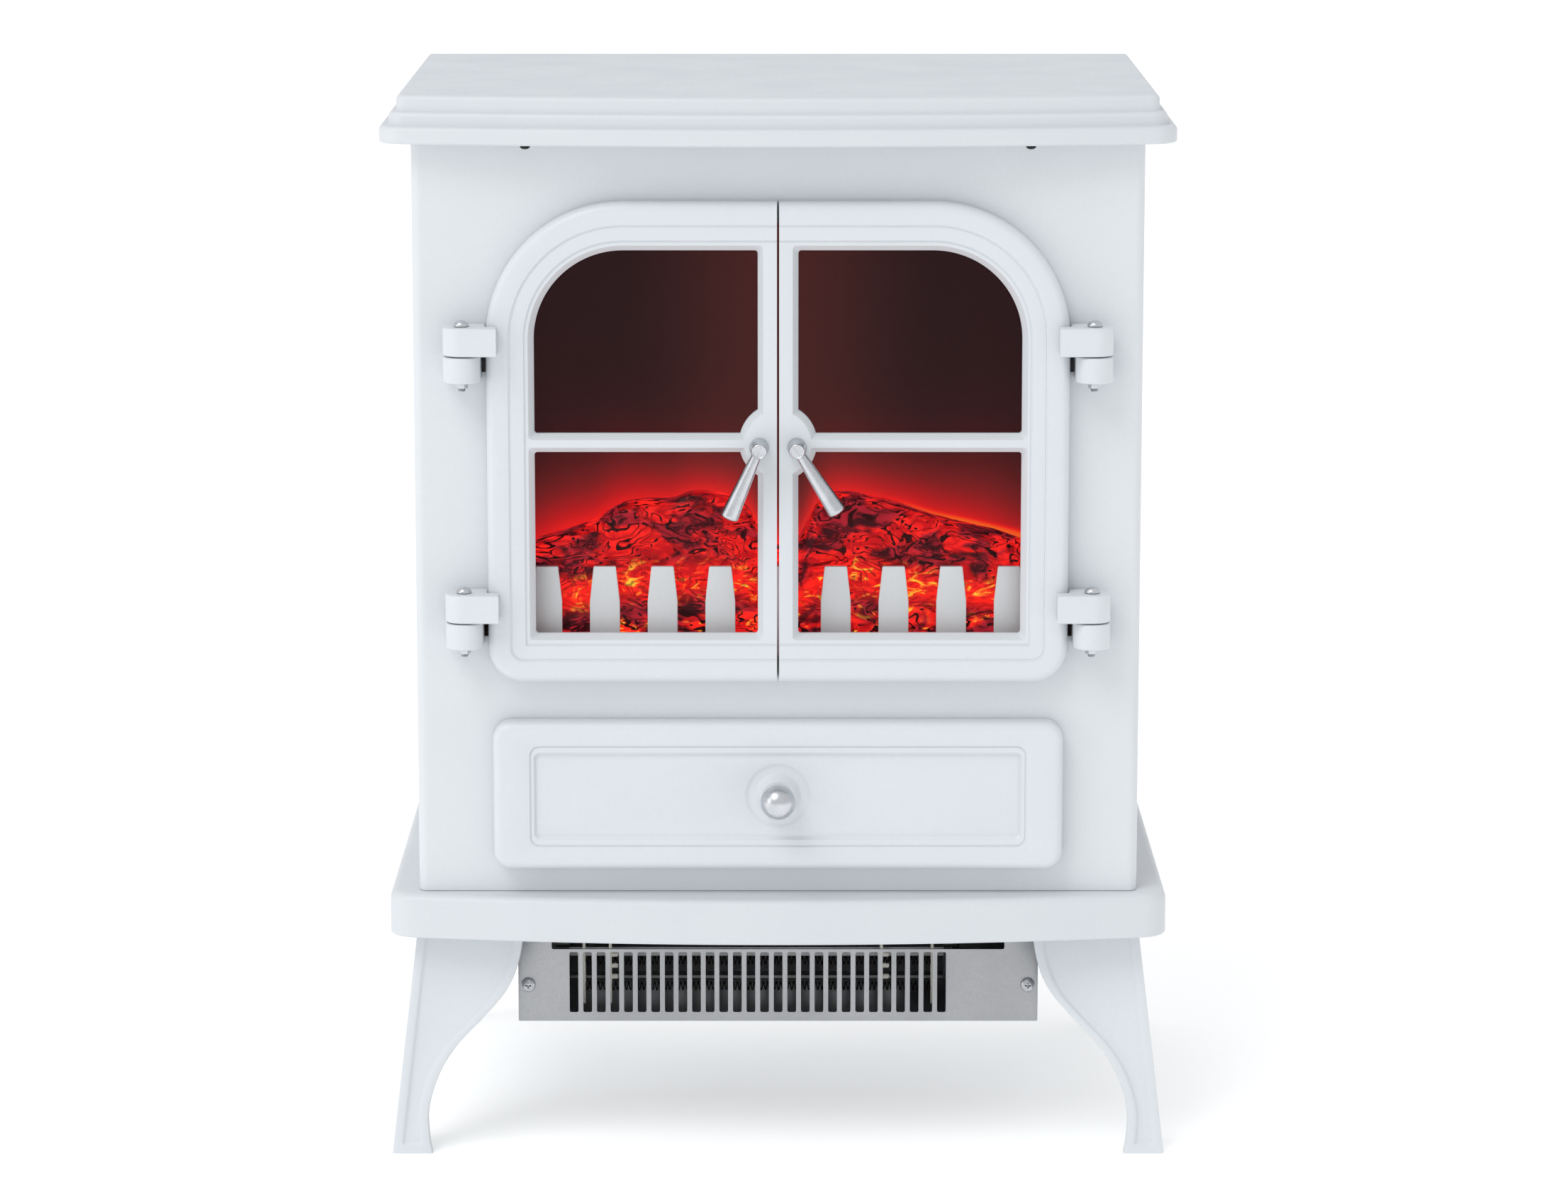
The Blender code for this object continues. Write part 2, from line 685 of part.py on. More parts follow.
def make_cord_gland(frame):
    outside = REAR_SHEET_Y + SHEET + GAP
    inside = REAR_SHEET_Y - GAP
    profile = [(GLAND_BORE, inside - 5 * MM), (GLAND_NECK + 1.2 * MM, inside - 5 * MM)]
    profile += [(GLAND_NECK + 1.2 * MM, inside), (GLAND_NECK, inside), (GLAND_NECK, outside)]
    profile += [(GLAND_FLANGE, outside), (GLAND_FLANGE, outside + 1.6 * MM)]
    profile += [(GLAND_BORE + 1.5 * MM, outside + 4 * MM), (GLAND_BORE, outside + 4 * MM)]
    shape = Shape(facing_front)
    shape.turned_ring(profile, (GLAND_X, GLAND_Z), 16)
    add_part("cord_gland", shape, "black_plastic", frame)


# -------------------------------------------------------------------------------------------------- legs


def smooth_through(points, place):
    """A smooth curve through (place, value) points, read at one place."""
    for i in range(len(points) - 1):
        start, end = points[i], points[i + 1]
        if place > end[0] and i < len(points) - 2:
            continue
        before = points[max(i - 1, 0)]
        after = points[min(i + 2, len(points) - 1)]
        span = end[0] - start[0]
        t = (place - start[0]) / span
        lean_in = (end[1] - before[1]) / (end[0] - before[0]) * span
        lean_out = (after[1] - start[1]) / (after[0] - start[0]) * span
        rise = (2 * t ** 3 - 3 * t ** 2 + 1) * start[1] + (t ** 3 - 2 * t ** 2 + t) * lean_in
        return rise + (-2 * t ** 3 + 3 * t ** 2) * end[1] + (t ** 3 - t ** 2) * lean_out
    return points[-1][1]


def leg_width(level):
    """Width of a leg's face: a small foot, a waist above it, and an S-curve out to the full width at the top."""
    height = LEG_HEIGHT
    spread = LEG_TOP_WIDTH - LEG_WAIST
    shape = ((0.0, LEG_FOOT_WIDTH), (0.08 * height, LEG_FOOT_WIDTH - 0.6 * (LEG_FOOT_WIDTH - LEG_WAIST)),
             (0.2 * height, LEG_WAIST), (0.36 * height, LEG_WAIST + 0.09 * spread),
             (0.49 * height, LEG_WAIST + 0.29 * spread), (0.61 * height, LEG_WAIST + 0.59 * spread),
             (0.73 * height, LEG_WAIST + 0.85 * spread), (0.85 * height, LEG_WAIST + 0.97 * spread),
             (height, LEG_TOP_WIDTH))
    return smooth_through(shape, level)


def leg_section(level, recess, flange):
    """Plan of a leg at one level, from its corner: two arms with raised rims at both edges."""
    width = leg_width(level)
    edge = 0.8 * MM
    inner = (width + LEG_WALL) / 2 if flange else LEG_WALL
    arm = [(1.2 * MM, 0.0), (LEG_RIM, 0.0), (LEG_RIM + edge, recess), (width - LEG_RIM - edge, recess)]
    arm += [(width - LEG_RIM, 0.0), (width - edge, 0.0), (width, edge), (width, LEG_WALL)]
    other = [(q, p) for p, q in reversed(arm)]
    return [(0.35 * MM, 0.35 * MM)] + arm + [(inner, inner)] + other


def leg_levels():
    """Level, depth of the recess and whether the mounting flange fills the corner, from foot to top."""
    height = LEG_HEIGHT
    levels = [(0.0, 0.0, False), (LEG_RIM, 0.0, False), (LEG_RIM + 0.8 * MM, LEG_RECESS, False)]
    start = LEG_RIM + 0.8 * MM
    end = height - LEG_FLANGE - 0.2 * MM
    steps = 8
    levels += [(start + (end - start) * i / steps, LEG_RECESS, False) for i in range(1, steps + 1)]
    levels += [(height - LEG_FLANGE, LEG_RECESS, True), (height, LEG_RECESS, True)]
    return levels


def make_legs(frame):
    corner_x = BODY_WIDTH / 2 + BASE_SIDE - LEG_FLARE
    front_y = -(BASE_FRONT - PLATE_BOW) + LEG_FLARE
    rear_y = BODY_DEPTH + BASE_REAR - LEG_FLARE
    for end, side_y, corner_y in (("front", -1, front_y), ("rear", 1, rear_y)):
        for hand, side_x in (("left", -1), ("right", 1)):
            shape = Shape(lying_flat)
            loops = []
            for level, recess, flange in leg_levels():
                drop = LEG_FLARE * (1 - level / LEG_HEIGHT)
                outline = [(side_x * (corner_x + drop - p), corner_y + side_y * (drop - q))
                           for p, q in leg_section(level, recess, flange)]
                loops.append(shape.loop(outline, level))
            shape.walls(loops)
            shape.cap(loops[0])
            shape.cap(loops[-1])
            add_part(f"{end}_{hand}_leg", shape, "white_enamel", frame)


# ------------------------------------------------------------------------------------------------- doors


def door_edge(distance):
    """Half of the pair's outline, moved inward: from the split at the top round to the split at the foot."""
    half = DOORS_WIDTH / 2 - distance
    top = DOORS_TOP - distance
    foot = DOORS_SILL + distance
    arch = DOOR_ARCH - distance
    corner = max(DOOR_FOOT_CORNER - distance, 0.6 * MM)
    line = [(SPLIT_GAP / 2, top)]
    line += arc(half - arch, top - arch, arch, 90, 0, 12)
    line += arc(half - corner, foot + corner, corner, 0, -90, 5)
    line += [(SPLIT_GAP / 2, foot)]
    return line


def pad_cut(grow):
    """Radius of the round handle pad where it bites the window corners."""
    return PAD_RADIUS - grow


def window_outline(upper, grow):
    """One window, anticlockwise, made larger by grow on every side."""
    inner = WINDOW_STILE - grow
    outer = DOORS_WIDTH / 2 - WINDOW_SIDE + grow
    corner = WINDOW_CORNER + grow
    bar = CROSSBAR / 2 - grow
    radius = pad_cut(grow)
    reach_z = math.degrees(math.acos(inner / radius))
    reach_x = math.degrees(math.asin(bar / radius))
    if upper:
        top = DOORS_TOP - WINDOW_TOP + grow
        foot = CROSSBAR_CENTRE + bar
        arch = DOOR_ARCH - WINDOW_SIDE + grow
        line = arc(outer - corner, foot + corner, corner, -90, 0, 3)
        line += arc(outer - arch, top - arch, arch, 0, 90, 12)
        line += arc(inner + corner, top - corner, corner, 90, 180, 3)
        line += arc(0, CROSSBAR_CENTRE, radius, reach_z, reach_x, 6)
        return line
    top = CROSSBAR_CENTRE - bar
    foot = DOORS_SILL + WINDOW_FOOT - grow
    line = arc(outer - corner, top - corner, corner, 90, 0, 3)
    line += arc(outer - corner, foot + corner, corner, 0, -90, 3)
    line += arc(inner + corner, foot + corner, corner, -90, -180, 3)
    line += arc(0, CROSSBAR_CENTRE, radius, -reach_z, -reach_x, 6)
    return list(reversed(line))


def glass_outline(grow):
    """The single pane behind both windows."""
    inner = WINDOW_STILE - GLASS_LAP - grow
    outer = DOORS_WIDTH / 2 - WINDOW_SIDE + GLASS_LAP + grow
    top = DOORS_TOP - WINDOW_TOP + GLASS_LAP + grow
    foot = DOORS_SILL + WINDOW_FOOT - GLASS_LAP - grow
    arch = DOOR_ARCH - WINDOW_SIDE + GLASS_LAP + grow
    return [(inner, foot), (outer, foot)] + arc(outer - arch, top - arch, arch, 0, 90, 12) + [(inner, top)]


def door_place(side):
    def place(u, v, depth):
        return (side * u, depth, v)

    return place


def make_door_frame(side, hand, pivot):
    glass_depth = GLASS_THICKNESS + GAP
    shape = Shape(door_place(side))
    sections = [(0.0, DOOR_REAR), (0.0, DOOR_FACE + 4.5 * MM), (0.5 * MM, DOOR_FACE + 2.6 * MM)]
    sections += [(1.7 * MM, DOOR_FACE + 1.2 * MM), (3.8 * MM, DOOR_FACE + 0.3 * MM), (6.5 * MM, DOOR_FACE)]
    sections += [(BORDER - 0.8 * MM, DOOR_FACE + 0.2 * MM), (BORDER, DOOR_BAND)]
    sections += [(BORDER + STEP_BAND - 0.6 * MM, DOOR_BAND), (BORDER + STEP_BAND, DOOR_FLAT)]
    rings = [shape.loop(door_edge(distance), depth, False) for distance, depth in sections]
    shape.walls(rings, False)
    shape.cap([ring[0] for ring in rings] + [ring[-1] for ring in reversed(rings)])
    spigot = circle(HANDLE_X, HANDLE_Z, SPIGOT_RADIUS + RUNNING, 12)
    spigot_front = shape.loop(spigot, DOOR_FLAT)
    spigot_back = shape.loop(spigot, DOOR_REAR - glass_depth)
    shape.wall(spigot_front, spigot_back)
    lips = []
    floors = []
    for upper in (True, False):
        lip = shape.loop(window_outline(upper, WINDOW_BEVEL), DOOR_FLAT)
        edge = shape.loop(window_outline(upper, 0.0), DOOR_FLAT + WINDOW_BEVEL_DEPTH)
        floor = shape.loop(window_outline(upper, 0.0), DOOR_REAR - glass_depth)
        shape.walls([lip, edge, floor])
        lips.append(lip)
        floors.append(floor)
    shape.cap(rings[-1], spigot_front, *lips)
    pocket_floor = shape.loop(glass_outline(GAP), DOOR_REAR - glass_depth)
    pocket_mouth = shape.loop(glass_outline(GAP), DOOR_REAR)
    shape.wall(pocket_floor, pocket_mouth)
    shape.cap(pocket_floor, spigot_back, *floors)
    shape.cap(rings[0], pocket_mouth)
    add_part(f"{hand}_door_frame", shape, "white_enamel", pivot)


def make_door_glass(side, hand, pivot):
    shape = Shape(door_place(side))
    hole = circle(HANDLE_X, HANDLE_Z, SPIGOT_RADIUS + 1.2 * MM, 12)
    shape.prism(glass_outline(0.0), DOOR_REAR - GLASS_THICKNESS, DOOR_REAR, [hole])
    add_part(f"{hand}_door_glass", shape, "smoked_glass", pivot)


def make_moving_knuckle(side, name, level, pivot):
    """Hinge block on the door: a barrel round the pin and an arm over the face of the door."""
    arm = HINGE_FROM_DOOR + KNUCKLE_ARM
    door_face = HINGE_REACH + DOOR_FACE - GAP
    door_side = HINGE_FROM_DOOR - GAP
    rear = HINGE_REACH - DOOR_STANDOFF
    outline = [(-arm, -KNUCKLE_RADIUS), (-arm, door_face), (-door_side, door_face), (-door_side, rear), (0.0, rear)]
    outline += arc(0, 0, KNUCKLE_RADIUS, 90, -90, 12)
    outline = [(HINGE_X + u, v - HINGE_REACH) for u, v in outline]
    shape = Shape(lambda u, v, w: (side * u, v, w))
    hole = circle(HINGE_X, -HINGE_REACH, PIN_RADIUS + RUNNING, 16)
    start = level + KNUCKLE_GAP
    shape.soft_prism(list(reversed(outline)), start, start + MOVING_HEIGHT, 0.5 * MM, [hole])
    add_part(name, shape, "white_enamel", pivot)


def make_fixed_knuckle(side, name, level, frame):
    """Hinge block on the body, with a shank through the slot in the sheet."""
    outline = arc(HINGE_X, -HINGE_REACH, KNUCKLE_RADIUS, 180, 360, 14)
    outline += [(HINGE_X + KNUCKLE_RADIUS, -GAP), (HINGE_X - KNUCKLE_RADIUS, -GAP)]
    place = (lambda u, v, w: (side * u, v, w))
    shape = Shape(place)
    hole = circle(HINGE_X, -HINGE_REACH, PIN_RADIUS + RUNNING, 16)
    shape.soft_prism(outline, level - FIXED_HEIGHT, level, 0.5 * MM, [hole])
    part = add_part(name, shape, "white_enamel", frame)
    shank = Shape(place)
    plan = rect(HINGE_X - KNUCKLE_RADIUS + 2 * MM, HINGE_X + KNUCKLE_RADIUS - 5 * MM, -3 * MM, SHEET + 6 * MM)
    shank.prism(plan, level - FIXED_HEIGHT + 4 * MM, level - 1.6 * MM)
    fuse(part, shank)


def make_hinge_pin(side, name, level, frame):
    foot = level - FIXED_HEIGHT
    head = level + KNUCKLE_GAP + MOVING_HEIGHT + GAP
    profile = [(PIN_RADIUS * 0.7, foot - 5 * MM), (PIN_RADIUS, foot - 4.4 * MM), (PIN_RADIUS, foot - 3.2 * MM)]
    profile += [(3.3 * MM, foot - 3.2 * MM), (3.3 * MM, foot - GAP), (PIN_RADIUS, foot - GAP), (PIN_RADIUS, head)]
    profile += [(PIN_HEAD_RADIUS * math.cos(a), head + 3.2 * MM * math.sin(a))
                for a in (0.0, 0.5, 0.95, 1.35)]
    shape = Shape(lying_flat)
    shape.turned(profile, (side * HINGE_X, -HINGE_REACH), 10)
    add_part(name, shape, "satin_silver", frame)


def make_handle(side, hand, angle, pivot):
    boss = Shape(facing_front)
    base = DOOR_FLAT - GAP
    end = base - BOSS_LENGTH
    profile = [(SPIGOT_RADIUS * 0.8, DOOR_REAR - 1 * MM), (SPIGOT_RADIUS, DOOR_REAR - 1.4 * MM), (SPIGOT_RADIUS, base)]
    profile += [(BOSS_BASE - 0.5 * MM, base), (BOSS_BASE, base - 0.5 * MM), (BOSS_BASE, base - 1.6 * MM)]
    profile += [(BOSS_END, end + 1 * MM), (BOSS_END - 0.3 * MM, end + 0.3 * MM), (BOSS_END - 1 * MM, end)]
    boss.turned(profile, (side * HANDLE_X, HANDLE_Z), 12)
    part = add_part(f"{hand}_handle", boss, "satin_silver", pivot)
    direction = (side * math.sin(angle), -0.06, -math.cos(angle))
    lever = Shape(along((side * HANDLE_X, base - 8.6 * MM, HANDLE_Z), direction))
    profile = [(LEVER_THIN * 0.6, 1 * MM), (LEVER_THIN, 2 * MM), (LEVER_THICK, LEVER_LENGTH - 1 * MM)]
    profile += [(LEVER_THICK * math.cos(a), LEVER_LENGTH - 1 * MM + 3.4 * MM * math.sin(a))
                for a in (0.5, 1.0, 1.38)]
    lever.turned(profile, steps=12)
    fuse(part, lever)


# -------------------------------------------------------------------------------------------------- flap


def flap_outline(shrink_x, shrink_z, corner):
    half = FLAP_WIDTH / 2 - shrink_x
    return rounded_rect(-half, half, FLAP_SILL + shrink_z, FLAP_SILL + FLAP_HEIGHT - shrink_z, corner, 4)


def make_control_flap(pivot):
    rear = -FLAP_STANDOFF
    shape = Shape(facing_front)
    sections = [(0.0, FLAP_FACE + 5.5 * MM), (0.7 * MM, FLAP_FACE + 3 * MM), (2.2 * MM, FLAP_FACE + 1.2 * MM)]
    sections += [(4.5 * MM, FLAP_FACE + 0.3 * MM), (7.5 * MM, FLAP_FACE)]
    rings = [shape.loop(flap_outline(0.0, 0.0, FLAP_CORNER), rear)]
    rings += [shape.loop(flap_outline(d, d, max(FLAP_CORNER - d, 1.5 * MM)), depth) for d, depth in sections]
    shape.walls(rings)
    lip = shape.loop(flap_outline(PANEL_INSET_X, PANEL_INSET_Z, PANEL_CORNER), FLAP_FACE)
    groove = shape.loop(flap_outline(PANEL_INSET_X + 0.6 * MM, PANEL_INSET_Z + 0.6 * MM, PANEL_CORNER - 0.6 * MM),
                        FLAP_FACE + 0.9 * MM)
    floor = shape.loop(flap_outline(PANEL_INSET_X + 2.2 * MM, PANEL_INSET_Z + 5 * MM, PANEL_CORNER - 1.6 * MM),
                       FLAP_FLOOR)
    shape.walls([lip, groove, floor])
    shape.cap(rings[-1], lip)
    collar = [(DISH_RADIUS, FLAP_FLOOR), (DISH_RADIUS - 2 * MM, FLAP_FLOOR + DISH_DEPTH)]
    collar += [(COLLAR_BASE + 1 * MM, FLAP_FLOOR + DISH_DEPTH), (COLLAR_BASE, FLAP_FLOOR - 0.4 * MM)]
    collar += [(COLLAR_END + 0.6 * MM, -BALL_REACH + BALL_RADIUS + 2.5 * MM)]
    collar += [(COLLAR_END, -BALL_REACH + BALL_RADIUS + 0.8 * MM)]
    collar += [(STUD_RADIUS + GAP, -BALL_REACH + BALL_RADIUS + 0.8 * MM), (STUD_RADIUS + GAP, FLAP_FLOOR)]
    steps = [shape.loop(circle(0, FLAP_CENTRE, radius, 20), depth) for radius, depth in collar]
    shape.walls(steps)
    shape.cap(floor, steps[0])
    shape.cap(steps[-1])
    half = FLAP_WIDTH / 2 - FLAP_SKIN
    inner = rounded_rect(-half, half, FLAP_SILL + FLAP_FOOT_WALL, FLAP_SILL + FLAP_HEIGHT - FLAP_SKIN,
                         FLAP_CORNER - FLAP_SKIN, 3)
    pocket_mouth = shape.loop(inner, rear)
    pocket_floor = shape.loop(inner, FLAP_FLOOR + FLAP_SKIN)
    shape.wall(pocket_mouth, pocket_floor)
    shape.cap(rings[0], pocket_mouth)
    shape.cap(pocket_floor)
    part = add_part("control_flap", shape, "white_enamel", pivot)
    axis_z = FLAP_SILL + FLAP_AXIS_Z
    relief = Shape(facing_side)
    wedge = [(rear - FLAP_REAR_CHAMFER, FLAP_SILL), (rear, FLAP_SILL + FLAP_REAR_CHAMFER)]
    wedge += [(rear + 2 * MM, FLAP_SILL + FLAP_REAR_CHAMFER), (rear + 2 * MM, FLAP_SILL - 2 * MM)]
    wedge += [(rear - FLAP_REAR_CHAMFER, FLAP_SILL - 2 * MM)]
    relief.prism(wedge, -FLAP_WIDTH, FLAP_WIDTH)
    cut(part, relief)
    notches = Shape(facing_side)
    trunnions = Shape(facing_side)
    for x in (-TAB_X, TAB_X):
        outline = rect(-FLAP_AXIS_Y - TAB_RADIUS - 1.2 * MM, 1 * MM, FLAP_SILL - 1 * MM, axis_z + TAB_RADIUS + 1.2 * MM)
        notches.prism(outline, x - NOTCH_WIDTH / 2, x + NOTCH_WIDTH / 2)
        reach = NOTCH_WIDTH / 2 + 1 * MM
        trunnions.turned([(TRUNNION_RADIUS, x - reach), (TRUNNION_RADIUS, x + reach)], (-FLAP_AXIS_Y, axis_z), 12)
    cut(part, notches)
    fuse(part, trunnions)


def make_flap_knob(pivot):
    shape = Shape(facing_front)
    profile = [(STUD_RADIUS, FLAP_FLOOR - GAP)]
    start = math.asin(STUD_RADIUS / BALL_RADIUS)
    steps = 8
    for i in range(steps + 1):
        angle = start + (math.radians(176) - start) * i / steps
        profile.append((BALL_RADIUS * math.sin(angle), -BALL_REACH + BALL_RADIUS * math.cos(angle)))
    profile.append((0.3 * MM, -BALL_FRONT))
    shape.turned(profile, (0.0, FLAP_CENTRE), 16)
    add_part("flap_knob", shape, "satin_silver", pivot)


# ---------------------------------------------------------------------------------------------- controls


def rocker_aperture(x):
    half_x = ROCKER_WIDTH / 2 + ROCKER_CLEARANCE / 2
    half_z = ROCKER_HEIGHT / 2 + ROCKER_CLEARANCE
    return rect(x - half_x, x + half_x, FLAP_CENTRE - half_z, FLAP_CENTRE + half_z)


def make_control_panel(frame):
    """Tray behind the body front that carries the switches and knobs on its floor."""
    outer = control_opening(3 * MM)
    inner = control_opening(3 * MM - CONTROL_WALL)
    holes = [rocker_aperture(x) for x in ROCKER_XS]
    holes += [circle(x, FLAP_CENTRE, KNOB_SHAFT + RUNNING, 16) for x in (DIMMER_X, THERMOSTAT_X)]
    shape = Shape(facing_front)
    shape.tray(outer, inner, CONTROL_FRONT, CONTROL_FACE, CONTROL_REAR, holes)
    add_part("control_panel", shape, "white_plastic", frame)


def make_switch_block(frame):
    start = CONTROL_REAR + GAP
    margin = ROCKER_WIDTH / 2 + 4 * MM
    half_z = ROCKER_HEIGHT / 2 + 4 * MM
    outer = rect(ROCKER_XS[0] - margin, ROCKER_XS[-1] + margin, FLAP_CENTRE - half_z, FLAP_CENTRE + half_z)
    shape = Shape(facing_front)
    mouth = shape.loop(outer, start)
    back = shape.loop(outer, start + 18 * MM)
    shape.wall(mouth, back)
    pockets = []
    for x in ROCKER_XS:
        pocket = shape.loop(rocker_aperture(x), start)
        floor = shape.loop(rocker_aperture(x), start + 12 * MM)
        shape.wall(pocket, floor)
        shape.cap(floor)
        pockets.append(pocket)
    shape.cap(mouth, *pockets)
    shape.cap(back)
    add_part("switch_block", shape, "black_plastic", frame)


def make_rocker(name, x, pivot):
    """A rocker at rest with its upper half proud; its front has two faces that meet at its middle."""
    half = ROCKER_HEIGHT / 2
    reach = CONTROL_FACE - ROCKER_PIVOT_Y - 1.6 * MM
    tip = reach - half * math.tan(ROCKER_TILT)
    section = [(tip, -half), (reach, 0.0), (tip, half), (0.0, half)]
    section += arc(0.0, 0.0, 6 * MM, 60, -60, 6)
    section += [(0.0, -half)]
    turn = Matrix.Rotation(ROCKER_TILT, 2)
    outline = [turn @ Vector(point) for point in section]
    outline = [(ROCKER_PIVOT_Y + p.x, FLAP_CENTRE + p.y) for p in outline]
    shape = Shape(facing_side)
    shape.soft_prism(list(reversed(outline)), x - ROCKER_WIDTH / 2, x + ROCKER_WIDTH / 2, 0.4 * MM)
    add_part(name, shape, "black_plastic", pivot)


def make_knob(name, x, pivot):
    """A fluted control knob with a pointer edge, on a shaft through the panel."""
    shape = Shape(facing_front)
    back = CONTROL_FACE - 1 * MM
    flutes = 12

    def rim(radius):
        points = []
        for i in range(flutes * 2):
            angle = math.pi * i / flutes
            depth = radius - (0.5 * MM if i % 2 else 0.0)
            points.append((x + depth * math.sin(angle), FLAP_CENTRE + depth * math.cos(angle)))
        return list(reversed(points))

    def plain(radius):
        angles = [math.pi * i / flutes for i in range(flutes * 2)]
        return [(x + radius * math.sin(a), FLAP_CENTRE + radius * math.cos(a)) for a in reversed(angles)]

    loops = [shape.loop(plain(KNOB_SHAFT), CONTROL_REAR + 9 * MM), shape.loop(plain(KNOB_SHAFT), back)]
    loops += [shape.loop(plain(KNOB_RADIUS), back), shape.loop(plain(KNOB_RADIUS), back - 2 * MM)]
    loops += [shape.loop(rim(KNOB_RADIUS - 1.5 * MM), back - 2.2 * MM)]
    loops += [shape.loop(rim(KNOB_RADIUS - 2 * MM), KNOB_FRONT + 0.6 * MM)]
    loops += [shape.loop(plain(KNOB_RADIUS - 3.2 * MM), KNOB_FRONT)]
    shape.walls(loops)
    shape.cap(loops[0])
    shape.cap(loops[-1])
    add_part(name, shape, "black_plastic", pivot)


def make_control_bodies(frame):
    """The thermostat and the brightness control behind the panel, with a bore for each knob's shaft."""
    start = CONTROL_REAR + GAP
    for name, x, half, length in (("thermostat_body", THERMOSTAT_X, 14 * MM, 20 * MM),
                                  ("dimmer_body", DIMMER_X, 9 * MM, 12 * MM)):
        shape = Shape(facing_front)
        outline = rounded_rect(x - half, x + half, FLAP_CENTRE - half, FLAP_CENTRE + half, 3 * MM, 3)
        bore = circle(x, FLAP_CENTRE, KNOB_SHAFT + RUNNING, 16)
        mouth = shape.loop(outline, start)
        back = shape.loop(outline, start + length)
        bore_mouth = shape.loop(bore, start)
        bore_floor = shape.loop(bore, start + 10 * MM)
        shape.wall(mouth, back)
        shape.wall(bore_mouth, bore_floor)
        shape.cap(mouth, bore_mouth)
        shape.cap(bore_floor)
        shape.cap(back)
        add_part(name, shape, "black_plastic", frame)


# ----------------------------------------------------------------------------------------------- firebox


def firebox_rect(shrink=0.0):
    half = FIREBOX_WIDTH / 2 - shrink
    return rect(-half, half, FIREBOX_SILL + shrink, FIREBOX_SILL + FIREBOX_HEIGHT - shrink)


def make_firebox_liner(frame):
    shape = Shape(facing_front)
    shape.prism(firebox_rect(), FIREBOX_FRONT, FIREBOX_FRONT + FIREBOX_DEPTH, [firebox_rect(LINER_WALL)])
    add_part("firebox_liner", shape, "black_paint", frame)


def make_flame_screen(frame):
    shape = Shape(facing_front)
    shape.prism(firebox_rect(), SCREEN_Y, SCREEN_Y + SCREEN_THICKNESS)
    add_part("flame_screen", shape, "frosted_acrylic", frame)


def make_light_box(frame):
    shape = Shape(facing_front)
    back = LIGHTBOX_Y + LIGHTBOX_DEPTH
    shape.tray(firebox_rect(), firebox_rect(LINER_WALL), LIGHTBOX_Y, back - LINER_WALL, back)
    part = add_part("light_box", shape, "white_enamel", frame)
    bores = Shape(facing_side)
    reach = FIREBOX_WIDTH / 2 + 2 * MM
    bores.turned([(SPINDLE_SHAFT + RUNNING, -reach), (SPINDLE_SHAFT + RUNNING, reach)], (SPINDLE_Y, SPINDLE_Z), 16)
    cut(part, bores)


def log_height(x):
    """Upper surface of the log pile along its length."""
    t = 2 * x / LOG_LENGTH
    left = math.exp(-((t + 0.38) / 0.34) ** 2)
    right = math.exp(-((t - 0.27) / 0.36) ** 2)
    valley = math.exp(-((t - 0.01) / 0.09) ** 2)
    rise = max(left, right) - 0.62 * valley
    shoulder = FIREBOX_SILL + LOG_SHOULDER
    return shoulder + (LOG_TOP - shoulder) * max(-0.4, rise)


def make_log_set(frame):
    foot = FIREBOX_SILL + LINER_WALL + GAP
    middle = (LOG_FRONT + LOG_REAR) / 2
    half = (LOG_REAR - LOG_FRONT) / 2
    shape = Shape(facing_side)
    stations = 22
    loops = []
    for i in range(stations + 1):
        t = -1 + 2 * i / stations
        x = t * LOG_LENGTH / 2
        height = (log_height(x) - foot) * (1 - 0.25 * abs(t) ** 8)
        width = half * (1 - 0.2 * abs(t) ** 8)
        section = [(middle - width, foot)]
        for k in range(1, 9):
            angle = math.pi * k / 9
            swell = 1 + 0.05 * math.sin(5 * angle + 9 * t)
            side = math.copysign(abs(math.cos(angle)) ** 0.6, math.cos(angle))
            section.append((middle - width * side, foot + height * math.sin(angle) ** 0.7 * min(swell, 1.0)))
        section.append((middle + width, foot))
        loops.append(shape.loop(section, x))
    shape.walls(loops)
    shape.cap(loops[0])
    shape.cap(loops[-1])
    add_part("log_set", shape, "resin_log", frame)


def make_fence(frame):
    """Upright bars on a rail, each bar widening towards its foot."""
    foot = FIREBOX_SILL + LINER_WALL + GAP
    rail_top = foot + FENCE_RAIL
    half_top = FENCE_BAR_TOP / 2
    half_foot = FENCE_BAR_FOOT / 2
    outline = []
    first = -(FENCE_BARS - 1) / 2
    for i in range(FENCE_BARS):
        x = (first + i) * FENCE_PITCH
        outline += [(x - half_foot, rail_top), (x - half_top - 0.3 * MM, FENCE_KINK), (x - half_top, FENCE_TOP)]
        outline += [(x + half_top, FENCE_TOP), (x + half_top + 0.3 * MM, FENCE_KINK), (x + half_foot, rail_top)]
    end = outline[-1][0]
    outline = [(end, foot)] + list(reversed(outline)) + [(-end, foot)]
    shape = Shape(facing_front)
    shape.soft_prism(outline, FENCE_Y, FENCE_Y + FENCE_THICKNESS, 0.5 * MM)
    add_part("fence", shape, "fence_grey", frame)


# ------------------------------------------------------------------------------------------ flame effect


